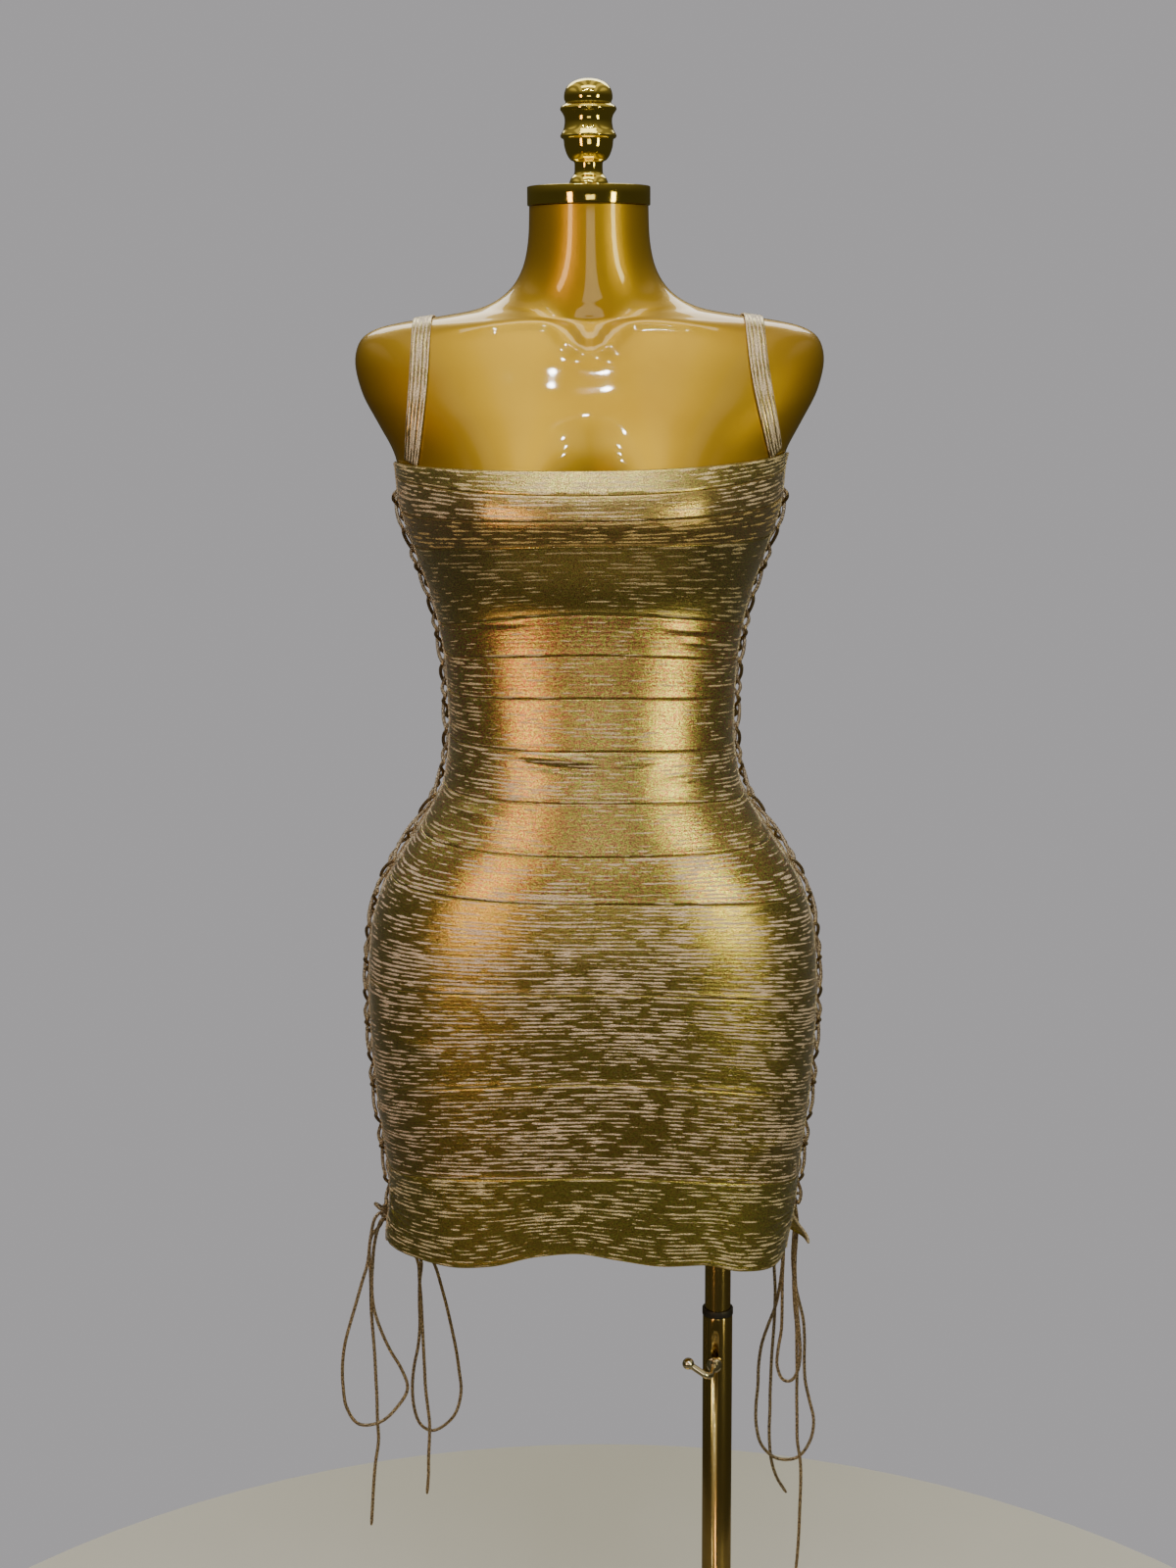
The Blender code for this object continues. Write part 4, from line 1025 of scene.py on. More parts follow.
class Wardrobe:
    """Every finish of the object, made once."""

    def __init__(self) -> None:
        """Builds the shared groups and the materials."""
        knit, braid, wear = foil_knit_group(), braid_group(), wear_group()
        self.bands = [KnitFinish(f"foil_knit_{number:02d}", tint).make(knit)
                      for number, tint in enumerate(TINTS, start=1)]
        self.strap = KnitFinish("foil_strap", KnitTint(0.52, (0.56, 0.46, 0.33),
                                                       (0.60, 0.48, 0.24))).make(knit)
        # For the piping and the lace, the dark colour is the painted shade between the strands and
        # the light colour the painted glints.
        self.piping = CordFinish("piping_twist", (0.36, 0.28, 0.18), (0.86, 0.76, 0.58),
                                 0.0011, 0.35, 0.42).make(braid)
        self.lace = CordFinish("lace_braid", (0.13, 0.085, 0.05), (0.62, 0.50, 0.34),
                               0.0010, 0.80, 0.33).make(braid)
        self.lacquer = PolishFinish("gilt_lacquer", (0.56, 0.345, 0.018), (0.50, 0.295, 0.014),
                                    0.85, 0.40, 0.06, 9.0, 1.0, 0.00004).make(wear)
        self.brass = PolishFinish("polished_brass", (0.92, 0.74, 0.18), (0.86, 0.66, 0.15),
                                  1.0, 0.05, 0.05).make(wear)
        self.tube = PolishFinish("plated_tube", (0.62, 0.47, 0.20), (0.50, 0.37, 0.15),
                                 1.0, 0.14, 0.10).make(wear)
        self.base = PolishFinish("plated_base", (0.62, 0.47, 0.20), (0.52, 0.39, 0.16),
                                 1.0, 0.16, 0.14).make(wear)
        self.bush = PolishFinish("black_bush", (0.015, 0.014, 0.013), (0.03, 0.03, 0.03),
                                 0.0, 0.45, 0.15).make(wear)
        self.screw = PolishFinish("screw_plating", (0.86, 0.80, 0.66), (0.78, 0.68, 0.48),
                                  1.0, 0.08, 0.08).make(wear)


def dress_up(piece: bpy.types.Object, finish: bpy.types.Material, slot: str, body: str,
             *nodes: str) -> bpy.types.Object:
    """Puts a finish on a piece and ties it to the frame.

    Args:
        piece: The piece.
        finish: Its material.
        slot: Not used.
        body: The body it rides.
        nodes: The nodes it stands for.

    Returns:
        The piece.
    """
    piece.data.materials.clear()
    piece.data.materials.append(finish)
    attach(piece, body)
    if nodes:
        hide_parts(*nodes)
    faces = len(piece.data.polygons) if piece.type == "MESH" else 0
    log.info("%s: %d faces on %s", piece.name, faces, body)
    return piece


# --------------------------------------------------------------------- dress form
@dataclass
class DressForm:
    """The hollow gilt torso and the floor let into its open bottom."""

    torso: Torso
    wardrobe: Wardrobe
    columns: int = 144
    ring_spacing: float = 0.0045
    ring_samples: int = 721
    form_top: float = TORSO[-1].height
    floor_thickness: float = 0.004
    floor_columns: int = 96
    notch_height: float = 1.372
    notch_radius: float = 0.012
    notch_depth: float = 0.0035
    bone_reach: float = 0.0030
    bone_width: float = 0.0085
    bone_flatness: float = 1.6
    bone_end: float = 0.125
    bone_fade: float = 0.05
    front_blend: float = 0.008
    bone_line: tuple[tuple[float, float], ...] = (
        (0.010, 1.364), (0.027, 1.380), (0.052, 1.3825), (0.080, 1.380), (0.115, 1.377))

    def build(self) -> None:
        """Builds and dresses both pieces."""
        shell = finish_mesh("dress_form", self._shell(), sharp=60.0, outward=False)
        add_wall(shell, FORM_WALL)
        dress_up(shell, self.wardrobe.lacquer, "form_paint", FIGURE, "form")
        dress_up(self._floor(), self.wardrobe.lacquer, "form_paint", FIGURE, "form_floor")

    def _ring(self, row: Array, grow: float, count: int) -> Array:
        """Points at even steps round one section."""
        angle = np.linspace(0.0, math.tau, self.ring_samples)
        points = self.torso.section(row[:, None] * np.ones(self.ring_samples), angle, grow,
                                    self.torso.round)
        length = along(points)
        wanted = np.linspace(0.0, length[-1], count + 1)
        even = np.interp(wanted, length, angle)
        ring = self.torso.section(row[:, None] * np.ones(count + 1), even, grow, self.torso.round)
        ring[-1] = ring[0]
        return ring

    def _shell(self) -> bmesh.types.BMesh:
        """The skin, from the open bottom to the flat top of the neck."""
        rows = self.torso.rows
        start = int(np.searchsorted(rows[0], FORM_BOTTOM))
        step = round(self.ring_spacing / self.torso.profile_step)
        picks = list(range(start, rows.shape[1] - 1, step)) + [rows.shape[1] - 1]
        points = np.stack([self._ring(rows[:, i], 0.0, self.columns) for i in picks])
        points[0, :, 2] = FORM_BOTTOM
        points = points + self._modelling(points)
        shape = cloth_grid(points)
        close_ends(shape, above=(FORM_BOTTOM + self.form_top) / 2.0)
        bmesh.ops.recalc_face_normals(shape, faces=shape.faces)
        face_outward(shape, (1.0, 0.0, 0.0))
        return shape

    def _modelling(self, points: Array) -> Array:
        """Soft collarbones and the hollow between them, as moves along the normals."""
        down = np.gradient(points, axis=0)
        round_ = np.gradient(points, axis=1)
        normal = np.cross(round_, down)
        normal /= np.linalg.norm(normal, axis=2, keepdims=True) + 1e-12
        outward = np.sign(np.sum(normal * (points - points.mean(axis=1, keepdims=True)), axis=2))
        normal *= outward[..., None]
        x, y, z = points[..., 0], points[..., 1], points[..., 2]
        front = 1.0 / (1.0 + np.exp(y / self.front_blend))
        line = flowing_line(np.array([(a, 0.0, b) for a, b in self.bone_line]), 0.002)
        gap = np.min(np.hypot(np.abs(x)[..., None] - line[:, 0],
                              (z[..., None] - line[:, 2]) * self.bone_flatness), axis=-1)
        fade = np.clip((self.bone_end - np.abs(x)) / self.bone_fade, 0.0, 1.0)
        rise = self.bone_reach * np.exp(-(gap / self.bone_width) ** 2) * fade
        notch = np.hypot(x, z - self.notch_height) / self.notch_radius
        rise = rise - self.notch_depth * np.exp(-notch**2)
        return normal * (rise * front)[..., None]

    def _floor(self) -> bpy.types.Object:
        """The flat plate inside the rim."""
        row = self.torso.at(FORM_BOTTOM + self.floor_thickness)
        ring = self._ring(row, -FORM_WALL - 2.0 * SEAM_GAP, self.floor_columns)[:-1]
        shape = bmesh.new()
        face = shape.faces.new([shape.verts.new((x, y, FORM_BOTTOM)) for x, y, _ in ring])
        made = bmesh.ops.extrude_face_region(shape, geom=[face])["geom"]
        top = [item for item in made if isinstance(item, bmesh.types.BMVert)]
        bmesh.ops.translate(shape, verts=top, vec=(0.0, 0.0, self.floor_thickness))
        return finish_mesh("form_floor_plate", shape)


@dataclass
class NeckFittings:
    """The polished disc on the neck and the turned finial on it."""

    wardrobe: Wardrobe
    cap_radius: float = 0.0483
    cap_height: float = 0.0146
    form_top: float = TORSO[-1].height
    profile: tuple[tuple[float, float], ...] = (
        (0.0153, 0.0000), (0.0152, 0.0026), (0.0138, 0.0060), (0.0120, 0.0082), (0.0112, 0.0100),
        (0.0110, 0.0135), (0.0111, 0.0175), (0.0120, 0.0188), (0.0142, 0.0200), (0.0168, 0.0237),
        (0.0188, 0.0296), (0.0193, 0.0338), (0.0197, 0.0356), (0.0214, 0.0366), (0.0220, 0.0380),
        (0.0212, 0.0398), (0.0194, 0.0432), (0.0185, 0.0489), (0.0191, 0.0530), (0.0208, 0.0560),
        (0.0220, 0.0580), (0.0212, 0.0602), (0.0184, 0.0622), (0.0178, 0.0634), (0.0188, 0.0658),
        (0.0187, 0.0700), (0.0170, 0.0744), (0.0135, 0.0780), (0.0075, 0.0806), (0.0, 0.0815))

    def build(self) -> None:
        """Builds and dresses both pieces."""
        bottom = self.form_top + SEAM_GAP
        top = bottom + self.cap_height
        disc = spun("neck_disc", [(0.0, bottom), (self.cap_radius, bottom),
                                  (self.cap_radius, top), (0.0, top)], bevel=0.0007, sides=128)
        dress_up(disc, self.wardrobe.brass, "polished_brass", FIGURE, "neck_cap")
        foot = top + SEAM_GAP
        outline = np.array([(radius, 0.0, height) for radius, height in self.profile])
        fine = flowing_line(outline, 0.0009)
        points = [(0.0, foot)] + [(max(0.0, r), foot + h) for r, _, h in fine[:-1]]
        points.append((0.0, foot + self.profile[-1][1]))
        knob = spun("turned_finial", points, sides=96)
        dress_up(knob, self.wardrobe.brass, "polished_brass", FIGURE, "finial")


# -------------------------------------------------------------------------- dress
@dataclass
class KnitBands:
    """The front and the back, each sewn from fourteen knitted bands."""

    torso: Torso
    wardrobe: Wardrobe
    columns: int = 120
    rows_per_rib: int = 3
    rib_depth: float = 0.00014
    crown: float = 0.0002
    seam_roll: float = 0.00014
    seam_ridge: float = 0.00034
    ridge_inset: float = 0.0024
    ridge_width: float = 0.0012
    stretch_across: float = 1.12
    stretch_down: float = 1.03
    edge_pull: float = 0.0055
    edge_pull_width: float = 0.016
    edge_pull_start: float = 0.03
    seam_width: float = 0.0007
    hem_lip: float = 0.0005
    wobble: float = 0.0005
    wobble_across: float = 0.11
    wobble_down: float = 0.030
    pattern_step: float = 0.013
    pattern_ribs: int = 31

    def build(self) -> None:
        """Builds and dresses all the bands."""
        for panel in Panel:
            for number in range(1, len(EDGES)):
                self._band(panel, number)

    def _pull(self, height: Array, share: Array, panel: Panel) -> Array:
        """How far the lacing drags the ribs up near a side edge."""
        inward = (1.0 - np.abs(share)) * PANEL_HALF_WIDTH
        top = float(edge_height(0, 1.0, panel))
        low = float(edge_height(len(EDGES) - 1, 1.0, panel))
        calm = (np.clip((top - height) / self.edge_pull_start, 0.0, 1.0)
                * np.clip((height - low) / self.edge_pull_start, 0.0, 1.0))
        uneven = 0.75 + 0.25 * np.sin(height / LACE_PITCH * math.tau + np.sign(share))
        return self.edge_pull * calm * uneven * np.exp(-inward / self.edge_pull_width)

    def _relief(self, height: Array, share: Array, down: Array, tall: Array, ribs: int,
                panel: Panel) -> Array:
        """Height of the knit's surface over its smooth face.

        Args:
            height: Heights of the points.
            share: Places across the panel.
            down: Share of the band from its upper edge.
            tall: Height of the band at each column.
            ribs: Ribs in the band.
            panel: Front or back.

        Returns:
            How far each point stands out.
        """
        relief = self.rib_depth * (0.5 - 0.5 * np.cos(math.tau * down * ribs))
        relief = relief + self.crown * (4.0 * down * (1.0 - down)) ** 0.7
        from_top, from_low = down * tall, (1.0 - down) * tall
        relief = relief - self.seam_roll * (np.exp(-(from_top / self.seam_width) ** 2)
                                            + np.exp(-(from_low / self.seam_width) ** 2))
        ridge = (from_low - self.ridge_inset) / self.ridge_width
        relief = relief + self.seam_ridge * np.exp(-ridge**2)
        for crease in CREASES:
            if crease.panel is panel:
                off = height - crease.height - crease.tilt * (share - crease.share)
                taper = np.clip(1.0 - ((share - crease.share) / crease.half_span) ** 2, 0.0, 1.0)
                relief = relief + crease.depth * np.exp(-(off / crease.width) ** 2) * taper**1.5
        for pleats in PLEATS:
            if pleats.panel is panel:
                dx = (share - pleats.share) * PANEL_HALF_WIDTH
                dz = height - pleats.height
                reach = np.hypot(dx, dz) / pleats.reach
                fold = np.sin(np.arctan2(dz, dx) * pleats.count)
                relief = relief + pleats.depth * fold * np.exp(-reach**2) * np.clip(reach * 2, 0, 1)
        return relief

    def _band(self, panel: Panel, number: int) -> None:
        """One band, from its upper edge to its lower."""
        share = np.linspace(-1.0, 1.0, self.columns + 1)[None, :]
        top = edge_height(number - 1, share, panel)
        low = edge_height(number, share, panel)
        if number > 1:
            top = top - SEAM_GAP / 2.0
        if number < len(EDGES) - 1:
            low = low + SEAM_GAP / 2.0
        tall = top - low
        ribs = max(3, round(float(tall.mean()) / RIB_PITCH))
        even = np.linspace(0.0, 1.0, ribs * self.rows_per_rib + 1)
        lip = self.hem_lip / float(tall.mean())
        down = np.concatenate([[0.0, lip], even[1:-1], [1.0 - lip, 1.0]])[:, None]
        height = top - tall * down
        drift = waves(number * 7 + len(panel.value), (share * PANEL_HALF_WIDTH, self.wobble_across),
                      (height, self.wobble_down))
        wobble = self.wobble * drift * np.sin(math.pi * down)
        height = height + wobble + self._pull(height, share, panel)
        points = self.torso.cloth(height, share, panel, CLOTH_CLEARANCE + CLOTH_WALL)
        across = np.gradient(points, axis=1)
        downward = np.gradient(points, axis=0)
        normal = unit(np.cross(downward, across))
        middle = points[:, self.columns // 2]
        if np.mean(normal[:, self.columns // 2, 1] * np.sign(middle[:, 1])) < 0.0:
            normal = -normal
        relief = self._relief(height, share, down, tall, ribs, panel)
        points = points + normal * relief[..., None]
        width = np.linalg.norm(np.diff(points, axis=1), axis=2).sum(axis=1)
        u = share * float(width.mean()) / 2.0 + self.pattern_step * number
        v = (down * ribs + self.pattern_ribs * number) * RIB_PITCH
        uv = np.stack(np.broadcast_arrays(u, v), axis=-1)
        shape = cloth_grid(points, uv)
        face_outward(shape, (0.0, -1.0 if panel is Panel.FRONT else 1.0, 0.0))
        name = f"{panel.value}_knit_{number:02d}"
        piece = finish_mesh(name, shape, sharp=75.0, outward=False)
        add_wall(piece, CLOTH_WALL)
        dress_up(piece, self.wardrobe.bands[number - 1], "foil_knit", FIGURE,
                 f"{panel.value}_band_{number:02d}")


@dataclass
class Piping:
    """The twisted cord sewn down each of the four side edges."""

    torso: Torso
    wardrobe: Wardrobe
    spacing: float = 0.0009
    steps: int = 160
    swell: float = 1.06
    lay: float = 0.0036

    def build(self) -> None:
        """Builds and dresses the four lengths."""
        grow = CLOTH_CLEARANCE + PIPING_RADIUS
        shift = PIPING_RADIUS + SEAM_GAP
        for panel in Panel:
            for side in Side:
                top = float(edge_height(0, side.value, panel))
                low = float(edge_height(len(EDGES) - 1, side.value, panel))
                height = np.linspace(top, low, self.steps)
                points = self.torso.cloth(height, np.full(self.steps, side.value), panel, grow)
                points[:, 1] += shift if panel is Panel.FRONT else -shift
                shape = tube_mesh(even_line(points, self.spacing), PIPING_RADIUS * self.swell, 10,
                                  lobes=2, lobe_depth=0.26, lay=self.lay)
                label = f"{panel.value}_{side.name.lower()}"
                piece = finish_mesh(f"{label}_piping", shape, sharp=80.0)
                dress_up(piece, self.wardrobe.piping, "edge_cord", FIGURE, f"{label}_binding")


class StrapRoute(NamedTuple):
    """Where a strap crosses the neckline, the shoulder and the back edge."""

    front_x: float
    top_x: float
    back_x: float


@dataclass
class Straps:
    """Two flat ribbed straps over the shoulders."""

    torso: Torso
    wardrobe: Wardrobe
    width: float = 0.0155
    thickness: float = 0.0013
    ribs: int = 5
    rib_depth: float = 0.0005
    foot: float = 0.0014
    spacing: float = 0.0024
    columns: int = 26
    front_share: float = 0.9
    back_share: float = 0.75
    shoulder: float = 1.36
    lift_from: float = 1.376
    lift_over: float = 0.012
    probe_step: float = 0.0006

    def build(self) -> None:
        """Builds and dresses both straps."""
        routes = {Side.LEFT: StrapRoute(0.1400, 0.1310, 0.1200),
                  Side.RIGHT: StrapRoute(0.1460, 0.1290, 0.1200)}
        for side, route in routes.items():
            line, outward = self._line(side, route)
            run = unit(np.gradient(line, axis=0))
            outward = unit(outward - run * np.sum(outward * run, axis=1, keepdims=True))
            across = np.cross(run, outward)
            place = np.linspace(-1.0, 1.0, self.columns + 1)
            ridge = np.abs(np.cos(place * math.pi * self.ribs / 2.0)) ** 0.7
            rise = self.thickness / 2.0 + self.rib_depth * (ridge - 1.0)
            points = (line[:, None] + across[:, None] * (place * self.width / 2.0)[None, :, None]
                      + outward[:, None] * rise[None, :, None])
            length = along(line)
            ribs_across = (place + 1.0) / 2.0 * self.ribs * RIB_PITCH + RIB_PITCH / 2.0
            uv = np.stack(np.broadcast_arrays(length[:, None], ribs_across[None, :]), axis=-1)
            shape = cloth_grid(points, uv)
            face_outward(shape, (0.0, 0.0, 1.0))
            label = side.name.lower()
            piece = finish_mesh(f"{label}_shoulder_strap", shape, sharp=75.0, outward=False)
            add_wall(piece, self.thickness)
            dress_up(piece, self.wardrobe.strap, "foil_knit", FIGURE, f"{label}_strap")

    def _line(self, side: Side, route: StrapRoute) -> tuple[Array, Array]:
        """The strap's middle line and the way out of the skin along it."""
        rows = self.torso.rows
        halves = []
        for panel in Panel:
            front = panel is Panel.FRONT
            low_x = route.front_x if front else route.back_x
            place = (self.front_share if front else self.back_share) * side.value
            start = float(edge_height(0, place, panel)) + self.foot
            over = (rows[0] > self.shoulder) & (rows[1] < route.top_x)
            peak = int(np.argmax(over))
            first = int(np.argmax(rows[0] > start))
            row = rows[:, first:peak]
            share = np.sin(0.5 * math.pi * (row[0] - start) / (row[0][-1] - start))
            x = low_x + (route.top_x - low_x) * share
            grow = CLOTH_CLEARANCE + self.thickness / 2.0
            reach = np.clip(x / (row[1] + grow), 0.0, 0.9999)
            depth = (row[2] if front else row[3]) + grow
            out = (1.0 - reach ** row[4]) ** (1.0 / row[4])
            if front:
                y = row[5] - (depth + self.torso.taut(x, row[0])) * out
            else:
                y = row[5] + depth * out
            halves.append(np.stack([side.value * x, y, row[0]], axis=1))
        line = even_line(np.vstack([halves[0], halves[1][::-1]]), 0.001)
        line = even_line(blur_line(line, 5.0), self.spacing)
        lift = np.clip((line[:, 2] - self.lift_from) / self.lift_over, 0.0, 1.0)
        line[:, 2] += (CLOTH_CLEARANCE + self.thickness / 2.0) * lift
        return line, self._normals(line)

    def _normals(self, line: Array) -> Array:
        """Outward directions of the skin along a line near it."""

        def level(points: Array) -> Array:
            """How far out points are, as a power of their share of the section."""
            row = self.torso.at(points[:, 2])
            depth = np.where(points[:, 1] < row[5], row[2], row[3])
            return (np.abs(points[:, 0]) / row[1]) ** row[4] + (
                np.abs(points[:, 1] - row[5]) / depth) ** row[4]

        moves = np.eye(3) * self.probe_step
        slope = np.stack([level(line + move) - level(line - move) for move in moves], axis=1)
        return unit(blur_line(unit(slope), 3.0))


# -------------------------------------------------------------------------- laces
EYELET_MARGIN = 0.0245
KNOT_RADII = (0.0052, 0.0085, 0.0075)
KNOTS = {Side.LEFT: (-0.1745, 0.000, 0.640), Side.RIGHT: (0.1675, 0.0475, 0.636)}


def knot_exit(side: Side, way: Sequence[float], beyond: float) -> Array:
    """A point straight out from a knot's surface.

    Args:
        side: The knot's side.
        way: The direction from its middle.
        beyond: How far outside the surface.

    Returns:
        The point.
    """
    way, radii = np.array(way, float), np.array(KNOT_RADII)
    reach = 1.0 / math.sqrt(float(np.sum((way / radii) ** 2)))
    outward = way / radii**2
    return np.array(KNOTS[side]) + way * reach + outward / np.linalg.norm(outward) * beyond


@dataclass
class Laces:
    """The crossed lace up each side gap, and the knot of its bow."""

    torso: Torso
    wardrobe: Wardrobe
    top: float = 1.250
    pitch: float = LACE_PITCH
    levels: int = 23
    rise: float = 0.0009
    over_skin: float = 0.0010
    edge: float = 0.0145
    over_piping: float = 0.0085
    lead: float = 0.0080
    spacing: float = 0.0016
    into_knot: float = -0.0008
    wrap_steps: int = 48
    wrap_swell: float = 1.12
    wrap_inset: float = 1.05
    core_share: float = 0.80
    to_knot: dict = field(default_factory=lambda: {
        Side.LEFT: ((-0.10, -0.75, 0.60), (-0.10, 0.75, 0.60)),
        Side.RIGHT: ((0.55, -0.75, 0.35), (0.25, -0.30, 0.90))})

    def build(self) -> None:
        """Builds and dresses both laces and both knots."""
        for side in Side:
            label = side.name.lower()
            first, second = self._strand(side, 0), self._strand(side, 1)
            path = flowing_line(np.vstack([first[::-1], second]), self.spacing)
            piece = finish_mesh(f"{label}_side_lace", lace_tube(path), sharp=80.0)
            dress_up(piece, self.wardrobe.lace, "lace_cord", FIGURE, f"{label}_lace")
            knot = finish_mesh(f"{label}_knot", self._knot(side), sharp=80.0)
            dress_up(knot, self.wardrobe.lace, "lace_cord", FIGURE, f"{label}_bow_knot")

    def _strand(self, side: Side, number: int) -> Array:
        """One zigzag, from its top eyelet down to the knot."""
        at_eyelet = CLOTH_CLEARANCE + 2.0 * PIPING_RADIUS + CORD_RADIUS + self.rise
        at_cross = CORD_RADIUS + self.over_skin + number * (2.0 * CORD_RADIUS + 2.0 * SEAM_GAP)
        halfway, edge = self.pitch / 2.0, self.edge / EYELET_MARGIN
        points = []
        for level in range(self.levels):
            front = (level + number) % 2 == 0
            offset = -EYELET_MARGIN if front else EYELET_MARGIN
            height = self.top - self.pitch * level
            points.append(self.torso.over_gap(height, offset, at_eyelet, side))
            if level < self.levels - 1:
                points += [
                    self.torso.over_gap(height - halfway * (1.0 - edge), offset * edge,
                                        at_eyelet, side),
                    self.torso.over_gap(height - halfway, 0.0, at_cross, side),
                    self.torso.over_gap(height - halfway * (1.0 + edge), -offset * edge,
                                        at_eyelet, side)]
        last_front = (self.levels - 1 + number) % 2 == 0
        way = self.to_knot[side][0 if last_front else 1]
        if last_front and KNOTS[side][1] > EYELET_MARGIN:
            height = KNOTS[side][2] + self.over_piping
            points.append(self.torso.over_gap(height, EYELET_MARGIN, at_eyelet + SEAM_GAP, side))
        points += [knot_exit(side, way, beyond) for beyond in (self.lead, self.into_knot)]
        return np.array(points)

    def _knot(self, side: Side) -> bmesh.types.BMesh:
        """A pulled-tight bow knot: three wraps of the cord over its own core."""
        middle, radii = np.array(KNOTS[side]), np.array(KNOT_RADII)
        turn = np.linspace(0.0, math.tau, self.wrap_steps)
        whole = bmesh.new()
        wraps = (((1, 0, 0), (0, 1, 0), 0.20), ((0, 1, 0), (0, 0, 1), -0.10),
                 ((1, 0, 0), (0, 0, 1), 0.35))
        for first, second, lean in wraps:
            a, b = np.array(first, float), np.array(second, float)
            c = np.cross(a, b)
            ring = (a * np.cos(turn)[:, None] + b * np.sin(turn)[:, None]
                    + c * (lean * np.sin(turn + 0.7))[:, None])
            path = middle + ring * (radii - CORD_RADIUS * self.wrap_inset)
            part = lace_tube(path, CORD_RADIUS * self.wrap_swell, 12)
            data = bpy.data.meshes.new("wrap")
            part.to_mesh(data)
            part.free()
            whole.from_mesh(data)
            bpy.data.meshes.remove(data)
        made = bmesh.ops.create_icosphere(whole, subdivisions=3, radius=1.0)["verts"]
        bmesh.ops.scale(whole, verts=made, vec=tuple(radii * self.core_share))
        bmesh.ops.translate(whole, verts=made, vec=tuple(middle))
        return whole


class CordRoute(NamedTuple):
    """A hanging cord: how it leaves its knot, where it goes and how it comes back."""

    side: Side
    leaves: tuple[float, float, float]
    points: list[tuple[float, float, float]]
    returns: Optional[tuple[float, float, float]]


